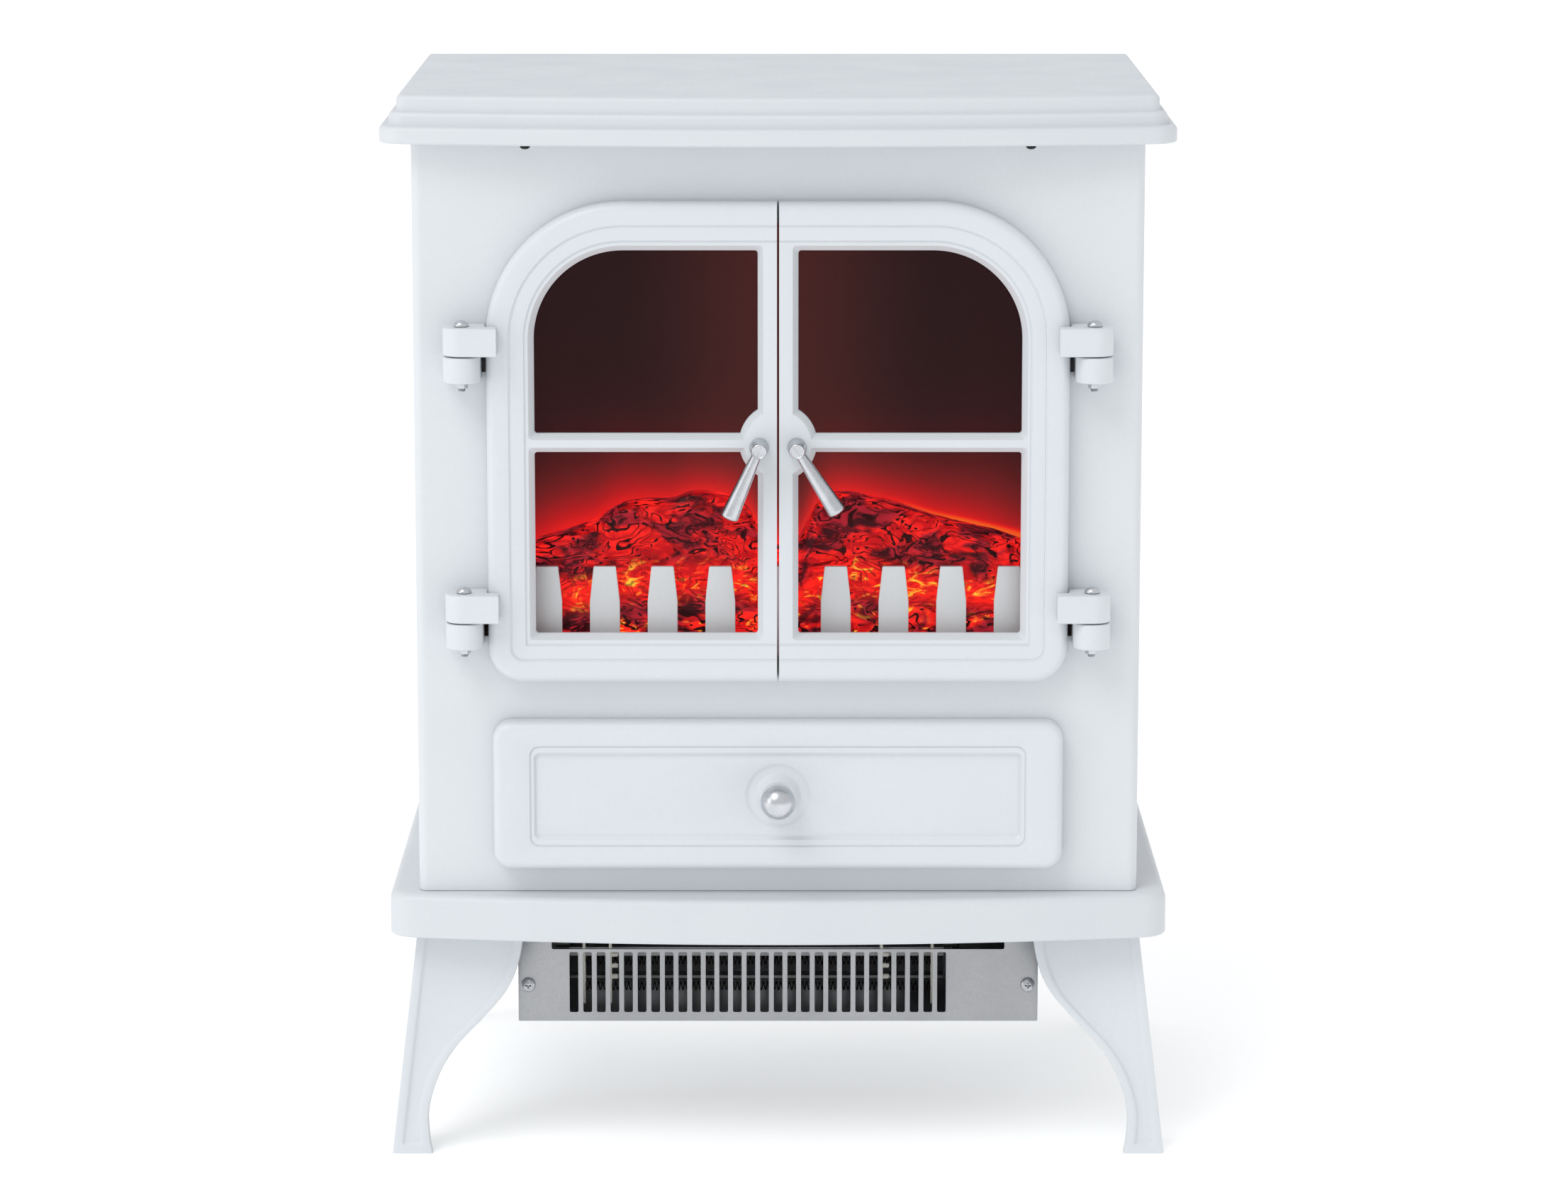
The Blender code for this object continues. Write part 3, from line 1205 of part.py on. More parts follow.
def vaned_rotor(centre, shaft, radius, vanes, twist, shaft_start, start, end, shaft_end):
    """A shaft along x with straight or twisted vanes between start and end."""
    shape = Shape(facing_side)
    hub = shaft * 2

    def star(turn, hub_radius, vane_radius):
        points = []
        for k in range(vanes):
            angle = turn + 2 * math.pi * k / vanes
            half = math.pi / vanes
            edge = min(0.12, half / 3)
            for offset, r in ((-edge, vane_radius), (edge, vane_radius), (half * 0.75, hub_radius),
                              (half * 1.25, hub_radius)):
                points.append((centre[0] + r * math.cos(angle + offset), centre[1] + r * math.sin(angle + offset)))
        return points

    loops = [shape.loop(star(0.0, shaft, shaft), x) for x in (shaft_start, start)]
    stations = SPINDLE_STATIONS if twist else 1
    for i in range(stations + 1):
        x = start + (end - start) * i / stations
        loops.append(shape.loop(star(twist * i / stations, hub, radius), x))
    loops += [shape.loop(star(twist, shaft, shaft), x) for x in (end, shaft_end)]
    shape.walls(loops)
    shape.cap(loops[0])
    shape.cap(loops[-1])
    bmesh.ops.triangulate(shape.mesh, faces=shape.mesh.faces[:])
    return shape


def make_flame_spindle(pivot):
    wall = FIREBOX_WIDTH / 2
    reach = wall - LINER_WALL - 6 * MM
    shape = vaned_rotor((SPINDLE_Y, SPINDLE_Z), SPINDLE_SHAFT, SPINDLE_RADIUS, SPINDLE_VANES, SPINDLE_TWIST,
                        -wall - 3 * MM, -reach, reach, wall + 8 * MM)
    add_part("flame_spindle", shape, "foil", pivot)


def motor_shape(centre, radius, start, length, bore, bore_depth):
    """A motor can along x with a blind bore for the shaft it drives."""
    shape = Shape(facing_side)
    profile = [(bore, start + bore_depth), (bore, start), (radius * 0.5, start), (radius * 0.5, start + 2 * MM)]
    profile += [(radius - 1 * MM, start + 2 * MM), (radius, start + 3 * MM), (radius, start + length - 1 * MM)]
    profile += [(radius - 1 * MM, start + length)]
    shape.turned(profile, centre, 14)
    return shape


def make_spindle_motor(frame):
    start = FIREBOX_WIDTH / 2 + GAP
    shape = motor_shape((SPINDLE_Y, SPINDLE_Z), SPINDLE_MOTOR_RADIUS, start, SPINDLE_MOTOR_LENGTH,
                        SPINDLE_SHAFT + RUNNING, 9 * MM)
    add_part("spindle_motor", shape, "grey_steel", frame)


def make_lamps(frame):
    floor = FIREBOX_SILL + LINER_WALL + GAP
    seat = floor + HOLDER_FLOOR
    bracket = Shape(lying_flat)
    strip = rounded_rect(-LAMP_X - 16 * MM, LAMP_X + 16 * MM, LAMP_Y - 12 * MM, LAMP_Y + 12 * MM, 4 * MM, 3)
    bracket.prism(strip, floor, floor + 1.5 * MM)
    part = add_part("lamp_bracket", bracket, "white_plastic", frame)
    cups = Shape(lying_flat)
    for hand, x in (("left", -LAMP_X), ("right", LAMP_X)):
        rim = floor + HOLDER_HEIGHT
        cups.turned([(LAMP_CAP + GAP, seat), (LAMP_CAP + GAP, rim), (HOLDER_RADIUS, rim),
                     (HOLDER_RADIUS, floor + 0.5 * MM)], (x, LAMP_Y), 14)
        lamp = Shape(lying_flat)
        foot = seat + GAP
        profile = [(LAMP_CAP * 0.6, foot), (LAMP_CAP, foot + 2 * MM), (LAMP_CAP, rim + 1 * MM)]
        profile += [(LAMP_CAP * 1.1, rim + 4 * MM), (LAMP_RADIUS * 0.85, rim + 12 * MM), (LAMP_RADIUS, rim + 22 * MM)]
        profile += [(LAMP_RADIUS * 0.86, rim + 34 * MM), (LAMP_RADIUS * 0.5, rim + 46 * MM), (1.2 * MM, rim + 56 * MM)]
        lamp.turned(profile, (x, LAMP_Y), 12)
        add_part(f"lamp_{hand}", lamp, "lamp_glass", frame)
    fuse(part, cups)


# ------------------------------------------------------------------------------------------------ heater


def heater_rect(shrink=0.0):
    half = HEATER_WIDTH / 2 - shrink
    return rect(-half, half, HEATER_FOOT + shrink, HEATER_TOP - shrink)


def make_heater_housing(frame):
    back = HEATER_BOX_Y + HEATER_DEPTH
    shape = Shape(facing_front)
    slots = []
    for i in range(12):
        x = FAN_LEFT + 12 * MM + i * 15 * MM
        slots.append(rect(x, x + 6 * MM, HEATER_FOOT + 12 * MM, HEATER_TOP - 12 * MM))
    shape.tray(heater_rect(), heater_rect(HEATER_WALL), HEATER_BOX_Y, back - HEATER_WALL, back, slots)
    part = add_part("heater_housing", shape, "grey_steel", frame)
    lugs = Shape(facing_front)
    bores = Shape(facing_front)
    for x in (-SCREW_X, SCREW_X):
        side = math.copysign(1, x)
        wall_x = side * (HEATER_WIDTH / 2 - HEATER_WALL / 2)
        near = side * (SCREW_X - SCREW_SHANK - 2.5 * MM)
        lugs.prism(rect(min(wall_x, near), max(wall_x, near), SCREW_Z - 5 * MM, SCREW_Z + 5 * MM),
                   HEATER_BOX_Y, HEATER_BOX_Y + 9 * MM)
        bores.turned([(SCREW_SHANK + GAP, HEATER_BOX_Y - 1 * MM), (SCREW_SHANK + GAP, HEATER_BOX_Y + 8 * MM)],
                     (x, SCREW_Z), 12)
    fuse(part, lugs)
    cut(part, bores)


def make_heater_grille(frame):
    slots = []
    for i in range(GRILLE_SLOTS):
        x = SLOT_FIRST + i * SLOT_PITCH
        half = SLOT_WIDTH / 2
        slots.append(rounded_rect(x - half, x + half, SLOT_FOOT, SLOT_TOP, half * 0.6, 1))
    slots.append(rect(-LONG_SLOT_HALF, LONG_SLOT_HALF, LONG_SLOT_FOOT, LONG_SLOT_TOP))
    slots += [circle(x, SCREW_Z, SCREW_SHANK + GAP, 12) for x in (-SCREW_X, SCREW_X)]
    shape = Shape(facing_front)
    shape.prism(heater_rect(), HEATER_FRONT, HEATER_FRONT + HEATER_WALL, slots)
    add_part("heater_grille", shape, "grey_steel", frame)


def make_grille_screws(frame):
    for hand, x in (("left", -SCREW_X), ("right", SCREW_X)):
        seat = HEATER_FRONT - GAP
        profile = [(SCREW_SHANK * 0.6, HEATER_BOX_Y + 7 * MM), (SCREW_SHANK, HEATER_BOX_Y + 6.4 * MM)]
        profile += [(SCREW_SHANK, seat), (SCREW_HEAD, seat), (SCREW_HEAD, seat - 0.8 * MM)]
        profile += [(SCREW_HEAD * 0.82, seat - 1.7 * MM), (SCREW_HEAD * 0.45, seat - 2.3 * MM)]
        shape = Shape(facing_front)
        shape.turned(profile, (x, SCREW_Z), 12)
        add_part(f"grille_screw_{hand}", shape, "bright_steel", frame)


def make_heating_element(frame):
    """Three coil runs between end plates, carried by two posts of ceramic beads."""
    low = HEATER_FOOT + HEATER_WALL + 4 * MM
    high = HEATER_TOP - HEATER_WALL - 4 * MM
    outline = rect(ELEMENT_LEFT, ELEMENT_RIGHT, low, high)
    posts = [ELEMENT_LEFT + 20 * MM, ELEMENT_RIGHT - 20 * MM]
    uprights = [ELEMENT_LEFT + 1.5 * MM] + posts + [ELEMENT_RIGHT - 1.5 * MM]
    rows = 4
    height = (high - low) / rows
    holes = []
    for a, b in zip(uprights, uprights[1:]):
        for row in range(rows):
            foot = low + row * height + 1.6 * MM
            holes.append(rect(a + 1.5 * MM, b - 1.5 * MM, foot, foot + height - 3.2 * MM))
    shape = Shape(facing_front)
    shape.prism(outline, ELEMENT_Y, ELEMENT_Y + 6 * MM, holes)
    add_part("heating_element", shape, "ceramic", frame)


def fan_centre():
    return (FAN_Y, (HEATER_FOOT + HEATER_TOP) / 2)


def make_fan_impeller(pivot):
    shape = vaned_rotor(fan_centre(), FAN_SHAFT, FAN_RADIUS, FAN_VANES, 0.0, FAN_LEFT - 8 * MM, FAN_LEFT,
                        FAN_RIGHT, FAN_RIGHT + 14 * MM)
    add_part("fan_impeller", shape, "grey_steel", pivot)


def make_fan_motor(frame):
    shape = motor_shape(fan_centre(), FAN_MOTOR_RADIUS, FAN_RIGHT + 6 * MM, FAN_MOTOR_LENGTH,
                        FAN_SHAFT + RUNNING, 9 * MM)
    add_part("fan_motor", shape, "black_plastic", frame)


def make_thermal_cutout(frame):
    top = HEATER_TOP - HEATER_WALL - GAP
    shape = Shape(lying_flat)
    shape.turned([(5 * MM, top - 9 * MM), (8 * MM, top - 8 * MM), (8 * MM, top - 2 * MM), (11 * MM, top - 2 * MM),
                  (11 * MM, top)], (-20 * MM, 73 * MM), 16)
    add_part("thermal_cutout", shape, "black_plastic", frame)


# ---------------------------------------------------------------------------------------------- assembly


def clear_scene():
    for item in list(bpy.data.objects):
        bpy.data.objects.remove(item, do_unlink=True)


def make_static_parts(frame):
    make_top_plate(frame)
    make_top_screws(frame)
    make_base_plate(frame)
    make_body_shell(frame)
    make_back_panel(frame)
    make_cord_gland(frame)
    make_legs(frame)
    make_firebox_liner(frame)
    make_flame_screen(frame)
    make_light_box(frame)
    make_log_set(frame)
    make_fence(frame)
    make_spindle_motor(frame)
    make_lamps(frame)
    make_heater_housing(frame)
    make_heater_grille(frame)
    make_grille_screws(frame)
    make_heating_element(frame)
    make_fan_motor(frame)
    make_thermal_cutout(frame)
    make_control_panel(frame)
    make_switch_block(frame)
    make_control_bodies(frame)


def make_doors(frame):
    for side, hand, angle in ((-1, "left", LEFT_LEVER_ANGLE), (1, "right", RIGHT_LEVER_ANGLE)):
        hinge = add_empty(f"{hand}_door_pivot", (side * HINGE_X, -HINGE_REACH, 0), frame)
        make_door_frame(side, hand, hinge)
        make_door_glass(side, hand, hinge)
        for end, level in hinge_tops():
            make_moving_knuckle(side, f"{hand}_{end}_hinge_arm", level, hinge)
            make_fixed_knuckle(side, f"{hand}_{end}_hinge_block", level, frame)
            make_hinge_pin(side, f"{hand}_{end}_hinge_pin", level, frame)
        handle = add_empty(f"{hand}_handle_pivot", (side * HANDLE_X, DOOR_FLAT, HANDLE_Z), frame)
        make_handle(side, hand, angle, handle)


def make_moving_controls(frame):
    flap = add_empty("flap_pivot", (0, -FLAP_AXIS_Y, FLAP_SILL + FLAP_AXIS_Z), frame)
    make_control_flap(flap)
    make_flap_knob(flap)
    for name, x in zip(("flame_switch", "low_heat_switch", "high_heat_switch"), ROCKER_XS):
        rocker = add_empty(f"{name}_pivot", (x, ROCKER_PIVOT_Y, FLAP_CENTRE), frame)
        make_rocker(name, x, rocker)
    for name, x in (("dimmer_knob", DIMMER_X), ("thermostat_knob", THERMOSTAT_X)):
        shaft = add_empty(f"{name}_pivot", (x, CONTROL_FACE, FLAP_CENTRE), frame)
        make_knob(name, x, shaft)


def make_rotors(frame):
    spindle = add_empty("flame_spindle_pivot", (0, SPINDLE_Y, SPINDLE_Z), frame)
    make_flame_spindle(spindle)
    y, z = fan_centre()
    fan = add_empty("fan_pivot", (0, y, z), frame)
    make_fan_impeller(fan)


def main():
    clear_scene()
    frame = add_empty("stove_frame", (0, ORIGIN_Y, 0))
    make_static_parts(frame)
    make_doors(frame)
    make_moving_controls(frame)
    make_rotors(frame)


main()
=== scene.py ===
import math

import bmesh
import bpy
from mathutils import Matrix, Vector, noise


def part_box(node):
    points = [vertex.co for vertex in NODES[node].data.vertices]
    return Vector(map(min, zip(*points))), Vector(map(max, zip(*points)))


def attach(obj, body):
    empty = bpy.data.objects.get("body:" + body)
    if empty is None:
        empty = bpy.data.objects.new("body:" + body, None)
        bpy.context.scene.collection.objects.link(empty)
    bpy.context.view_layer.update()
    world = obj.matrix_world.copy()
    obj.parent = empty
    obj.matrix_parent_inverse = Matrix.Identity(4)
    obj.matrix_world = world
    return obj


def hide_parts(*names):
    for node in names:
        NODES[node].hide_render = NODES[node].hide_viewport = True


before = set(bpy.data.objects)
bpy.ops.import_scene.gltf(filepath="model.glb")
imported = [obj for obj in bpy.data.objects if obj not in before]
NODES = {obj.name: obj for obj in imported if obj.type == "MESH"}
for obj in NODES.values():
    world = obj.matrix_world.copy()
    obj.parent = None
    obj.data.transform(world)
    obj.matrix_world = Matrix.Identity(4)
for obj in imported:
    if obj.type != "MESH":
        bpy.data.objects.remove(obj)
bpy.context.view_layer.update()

MM = 0.001

# The stove's own frame has y = 0 at the front face of the body, 1.8 mm in front of the firebox liner
BODY_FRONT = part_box("firebox_liner")[0].y - 1.8 * MM


def span(node):
    """Lowest and highest corner of a CAD node in the stove's own frame."""
    shift = Vector((0, BODY_FRONT, 0))
    low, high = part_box(node)
    return low - shift, high - shift


# ----------------------------------------------------------------------------------------------- outlines


def arc(cu, cv, radius, start, end, steps):
    """Points along an arc, both ends included, angles in degrees."""
    angles = [math.radians(start + (end - start) * i / steps) for i in range(steps + 1)]
    return [(cu + radius * math.cos(a), cv + radius * math.sin(a)) for a in angles]


def circle(cu, cv, radius, steps=48):
    return arc(cu, cv, radius, 0, 360, steps)[:-1]


def rect(u0, u1, v0, v1):
    return [(u0, v0), (u1, v0), (u1, v1), (u0, v1)]


def rounded_rect(u0, u1, v0, v1, radius, steps=8):
    """A rectangle with round corners, anticlockwise from its lower right corner."""
    lower_right = arc(u1 - radius, v0 + radius, radius, -90, 0, steps)
    upper_right = arc(u1 - radius, v1 - radius, radius, 0, 90, steps)
    upper_left = arc(u0 + radius, v1 - radius, radius, 90, 180, steps)
    lower_left = arc(u0 + radius, v0 + radius, radius, 180, 270, steps)
    return lower_right + upper_right + upper_left + lower_left


def mirrored(outline):
    """The outline reflected left to right, in the opposite order."""
    return [(-u, v) for u, v in reversed(outline)]


def inset(outline, distance):
    """A closed anticlockwise outline moved inward by a distance, corner by corner."""
    result = []
    count = len(outline)
    for i, (u, v) in enumerate(outline):
        before = (Vector((u, v)) - Vector(outline[i - 1])).normalized()
        after = (Vector(outline[(i + 1) % count]) - Vector((u, v))).normalized()
        normal = Vector((-before.y - after.y, before.x + after.x)).normalized()
        lean = max(0.3, normal.dot(Vector((-before.y, before.x))))
        result.append((u + normal.x * distance / lean, v + normal.y * distance / lean))
    return result


def smooth_through(points, place):
    """A smooth curve through (place, value) points, read at one place."""
    for i in range(len(points) - 1):
        start, end = points[i], points[i + 1]
        if place > end[0] and i < len(points) - 2:
            continue
        before = points[max(i - 1, 0)]
        after = points[min(i + 2, len(points) - 1)]
        reach = end[0] - start[0]
        t = (place - start[0]) / reach
        lean_in = (end[1] - before[1]) / (end[0] - before[0]) * reach
        lean_out = (after[1] - start[1]) / (after[0] - start[0]) * reach
        rise = (2 * t ** 3 - 3 * t ** 2 + 1) * start[1] + (t ** 3 - 2 * t ** 2 + t) * lean_in
        return rise + (-2 * t ** 3 + 3 * t ** 2) * end[1] + (t ** 3 - t ** 2) * lean_out
    return points[-1][1]


def quarter_round(offset, depth, radius, steps=5, turn=1):
    """(inset, depth) sections of a rounded edge, from the side face round to the face at depth."""
    points = arc(0, 0, radius, 0, 90, steps)
    return [(offset + radius - u, depth + turn * (radius - v)) for u, v in points]


# ------------------------------------------------------------------------------------------------- pieces


def facing_front(u, v, depth):
    """u is x, v is z, and depth runs along y."""
    return (u, depth, v)


def lying_flat(u, v, depth):
    """u is x, v is y, and depth runs along z."""
    return (u, v, depth)


def facing_side(u, v, depth):
    """u is y, v is z, and depth runs along x."""
    return (depth, u, v)


def along(origin, direction):
    """A placing function whose depth runs from origin along direction."""
    forward = Vector(direction).normalized()
    across = forward.orthogonal().normalized()
    up = forward.cross(across)

    def place(u, v, depth):
        return Vector(origin) + across * u + up * v + forward * depth

    return place


class Shape:
    """A closed solid built from loops of points, the walls between them and the caps that close them."""

    def __init__(self, place):
        self.mesh = bmesh.new()
        self.place = place

    def loop(self, outline, depth, closed=True):
        points = [self.mesh.verts.new(self.place(u, v, depth)) for u, v in outline]
        for a, b in zip(points, points[1:]):
            self.mesh.edges.new((a, b))
        if closed:
            self.mesh.edges.new((points[-1], points[0]))
        return points

    def wall(self, first, second, closed=True):
        count = len(first)
        for i in range(count if closed else count - 1):
            j = (i + 1) % count
            self.mesh.faces.new((first[i], first[j], second[j], second[i]))

    def walls(self, loops, closed=True):
        for first, second in zip(loops, loops[1:]):
            self.wall(first, second, closed)

    def cap(self, *loops):
        edges = []
        for points in loops:
            for a, b in zip(points, points[1:] + points[:1]):
                edges.append(self.mesh.edges.get((a, b)) or self.mesh.edges.new((a, b)))
        bmesh.ops.triangle_fill(self.mesh, use_beauty=True, use_dissolve=False, edges=edges)

    def prism(self, outline, start, end, holes=()):
        """An outline with holes right through, extruded from start to end."""
        first = [self.loop(points, start) for points in (outline, *holes)]
        second = [self.loop(points, end) for points in (outline, *holes)]
        for a, b in zip(first, second):
            self.wall(a, b)
        self.cap(*first)
        self.cap(*second)

    def soft_prism(self, outline, start, end, edge, holes=(), steps=3):
        """A prism whose outer edges, and the mouths of its holes, are rounded to a small radius."""
        turns = [(edge * (1 - math.sin(a)), edge * (1 - math.cos(a)))
                 for a in (math.pi / 2 * i / steps for i in range(steps + 1))]
        levels = [(grow, start + sink) for grow, sink in turns]
        levels += [(grow, end - sink) for grow, sink in reversed(turns)]
        outer = [self.loop(inset(outline, grow), depth) for grow, depth in levels]
        self.walls(outer)
        bores = []
        for points in holes:
            rings = [self.loop(inset(points, -grow * 0.5), depth) for grow, depth in levels]
            self.walls(rings)
            bores.append(rings)
        self.cap(outer[0], *[rings[0] for rings in bores])
        self.cap(outer[-1], *[rings[-1] for rings in bores])

    def turned(self, profile, centre=(0.0, 0.0), steps=48):
        """A turned solid: profile holds (radius, depth) from one flat end to the other."""
        rings = [self.loop(circle(*centre, radius, steps), depth) for radius, depth in profile]
        self.walls(rings)
        self.cap(rings[0])
        self.cap(rings[-1])


# Edges that turn by more degrees than this stay sharp
CREASE = 32


def make_object(name, shape, material=None, crease=CREASE):
    """The shape as an object in the world, smooth but for edges sharper than crease degrees."""
    mesh = bpy.data.meshes.new(name)
    bmesh.ops.remove_doubles(shape.mesh, verts=shape.mesh.verts, dist=0.002 * MM)
    bmesh.ops.recalc_face_normals(shape.mesh, faces=shape.mesh.faces)
    shape.mesh.to_mesh(mesh)
    shape.mesh.free()
    mesh.transform(Matrix.Translation((0, BODY_FRONT, 0)))
    mesh.shade_smooth()
    mesh.set_sharp_from_angle(angle=math.radians(crease))
    made = bpy.data.objects.new(name, mesh)
    bpy.context.scene.collection.objects.link(made)
    if material:
        mesh.materials.append(material)
    return made


def settle(made, body, slot, *nodes):
    """The piece moves with its body and stands for its CAD nodes, which it hides. The slot is not used."""
    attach(made, body)
    if nodes:
        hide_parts(*nodes)
    return made


def combine(made, shape, operation):
    """Cuts a shape from a piece or fuses it on, and keeps the result as the piece's own mesh."""
    helper = make_object("helper", shape)
    modifier = made.modifiers.new(operation.lower(), "BOOLEAN")
    modifier.operation = operation
    modifier.solver = "EXACT"
    modifier.object = helper
    depsgraph = bpy.context.evaluated_depsgraph_get()
    result = bpy.data.meshes.new_from_object(made.evaluated_get(depsgraph))
    made.modifiers.clear()
    made.data = result
    result.shade_smooth()
    result.set_sharp_from_angle(angle=math.radians(CREASE))
    bpy.data.objects.remove(helper, do_unlink=True)


# ---------------------------------------------------------------------------------------------- materials

# The sockets of a colour mix go by number, because its numbers and its colours share their names
SHARE, FIRST, SECOND, MIXED = 0, 6, 7, 2
COLOURS = {"data_type": "RGBA"}
EASED = {"interpolation_type": "SMOOTHSTEP"}


def colour(code):
    """An sRGB hex value as the linear colour that a shader takes."""
    channels = [int(code[i:i + 2], 16) / 255 for i in (1, 3, 5)]
    linear = [c / 12.92 if c <= 0.04045 else ((c + 0.055) / 1.055) ** 2.4 for c in channels]
    return (*linear, 1.0)


def set_inputs(tree, node, inputs):
    """Gives each of a node's inputs a link from another node, a colour from its hex value, or a number."""
    for key, value in inputs.items():
        if isinstance(value, bpy.types.NodeSocket):
            tree.links.new(value, node.inputs[key])
        elif isinstance(value, str):
            node.inputs[key].default_value = colour(value)
        else:
            node.inputs[key].default_value = value


def add(tree, kind, inputs, output=0, **settings):
    """Adds a node with its settings and links, and returns one of its outputs."""
    made = tree.nodes.new("ShaderNode" + kind)
    for name, value in settings.items():
        setattr(made, name, value)
    set_inputs(tree, made, inputs)
    return made.outputs[output]


def new_material(name, base, roughness, metallic=0.0, ior=1.5):
    """A material with its whole-surface values on its shader's own sockets, and the place of each point on
    its piece, in metres, which every pattern starts from."""
    material = bpy.data.materials.new(name)
    material.use_nodes = True
    tree = material.node_tree
    shader = tree.nodes["Principled BSDF"]
    set_inputs(tree, shader, {"Base Color": base, "Roughness": roughness, "Metallic": metallic})
    if not metallic:
        set_inputs(tree, shader, {"IOR": ior})
    return material, tree, shader, add(tree, "TexCoord", {}, "Object")


def painted_finish(name, tint, shade, roughness, peel, peel_depth, grain=None, grain_depth=0.0, metallic=0.0):
    """Shared build of the coated finishes: faint clouds, uneven gloss and the peel of the dried coat."""
    material, tree, shader, place = new_material(name, tint, roughness, metallic)
    cloud = add(tree, "TexNoise", {"Vector": place, "Scale": 1 / (45 * MM), "Detail": 3.0})
    fleck = add(tree, "TexNoise", {"Vector": place, "Scale": 1 / peel, "Detail": 2.0})
    cloudy = add(tree, "MapRange", {"Value": cloud, "From Min": 0.3, "From Max": 0.7,
                                    "To Max": 0.45}, **EASED)
    mottled = add(tree, "Mix", {SHARE: cloudy, FIRST: tint, SECOND: shade}, MIXED, **COLOURS)
    flecked = add(tree, "MapRange", {"Value": fleck, "From Min": 0.35, "From Max": 0.7,
                                     "To Max": 0.5}, **EASED)
    toned = add(tree, "Mix", {SHARE: flecked, FIRST: mottled, SECOND: shade}, MIXED, **COLOURS)
    gloss = add(tree, "MapRange", {"Value": cloud, "From Min": 0.3, "From Max": 0.7,
                                   "To Min": roughness - 0.03, "To Max": roughness + 0.05}, **EASED)
    relief = add(tree, "Bump", {"Height": fleck, "Distance": peel_depth, "Strength": 1.0})
    if grain:
        grit = add(tree, "TexNoise", {"Vector": place, "Scale": 1 / grain, "Detail": 1.0})
        relief = add(tree, "Bump", {"Height": grit, "Distance": grain_depth, "Strength": 1.0,
                                    "Normal": relief})
    set_inputs(tree, shader, {"Base Color": toned, "Roughness": gloss, "Normal": relief})
    return material


# Powder-coated steel sheet, baked: a satin white skin with a fine orange peel, 1.5 mm from dimple to dimple
POWDER_COAT = painted_finish("powder_coated_steel_sheet", "#D2D6DA", "#CFD3D7", 0.42, 1.5 * MM, 0.03 * MM)

# Powder-coated casting: doors, flap, hinges and legs, a little softer and smoother than the sheet
CAST_COAT = painted_finish("powder_coated_casting", "#CFD4D8", "#CCD1D5", 0.38, 2.2 * MM, 0.03 * MM)

# Sprayed lacquer on board: the peel sits over a sanded grain, so the edges of the boards shine less evenly
LACQUER = painted_finish("sprayed_lacquer_on_board", "#CED2D6", "#CACED3", 0.46, 1.1 * MM, 0.05 * MM,
                         0.7 * MM, 0.03 * MM)

# Stippled lacquer on the flat of the top, its tint darkened as painted shade: the top is drawn greyer than
# the faces because it faces up, away from the main light. The real grain is under half a millimetre and too
# fine to show, so it is drawn at about one
SHADED_STIPPLE = painted_finish("stippled_lacquer_painted_shade", "#D0D5DA", "#C4CAD0", 0.5, 1.3 * MM, 0.25 * MM,
                         0.8 * MM, 0.15 * MM)

# Plain painted sheet on the rear, thinner and flatter than the show faces
REAR_COAT = painted_finish("painted_rear_sheet", "#D9DDDF", "#D4D8DB", 0.55, 1.8 * MM, 0.05 * MM)

# Stove-black paint on the firebox: matt, dusty, swallows the glow
STOVE_BLACK = painted_finish("matt_stove_black", "#16120F", "#221D1B", 0.8, 2.0 * MM, 0.08 * MM)

# Grey painted fence: pale, flat paint on punched steel
FENCE_PAINT = painted_finish("grey_painted_punched_steel", "#EDF0F2", "#E6EAED", 0.5, 1.6 * MM, 0.04 * MM)

# Rolled zinc-coated sheet of the heater: bare grey metal with a soft, slightly patchy sheen
ZINC_SHEET = painted_finish("rolled_zinc_coated_sheet", "#A9AAAC", "#9E9FA2", 0.42, 1.3 * MM, 0.03 * MM,
                            metallic=1.0)


def moulded_plastic(name, tint, shade, roughness, grit):
    """Moulded ABS with a spark-eroded texture: a fine even grit that breaks up the shine."""
    material, tree, shader, place = new_material(name, tint, roughness, ior=1.53)
    grain = add(tree, "TexNoise", {"Vector": place, "Scale": 1 / grit, "Detail": 1.0})
    cloud = add(tree, "TexNoise", {"Vector": place, "Scale": 1 / (20 * MM), "Detail": 2.0})
    cloudy = add(tree, "MapRange", {"Value": cloud, "From Min": 0.3, "From Max": 0.7}, **EASED)
    tone = add(tree, "Mix", {SHARE: cloudy, FIRST: tint, SECOND: shade}, MIXED, **COLOURS)
    gloss = add(tree, "MapRange", {"Value": grain, "From Min": 0.3, "From Max": 0.7,
                                   "To Min": roughness - 0.05, "To Max": roughness + 0.08}, **EASED)
    relief = add(tree, "Bump", {"Height": grain, "Distance": 0.05 * MM, "Strength": 1.0})
    set_inputs(tree, shader, {"Base Color": tone, "Roughness": gloss, "Normal": relief})
    return material


# Moulded ABS: black for rockers, knobs and motors, white for the panel and its raised marks
BLACK_ABS = moulded_plastic("moulded_black_abs", "#1B1C1E", "#232427", 0.45, 0.6 * MM)
WHITE_ABS = moulded_plastic("moulded_white_abs", "#E2E3E1", "#DEDFDD", 0.42, 0.8 * MM)

# Pad-printed ink: a thin dull film that takes the grit of the plastic under it
PRINT_INK = moulded_plastic("pad_printed_ink", "#2A2C30", "#33353A", 0.5, 0.5 * MM)


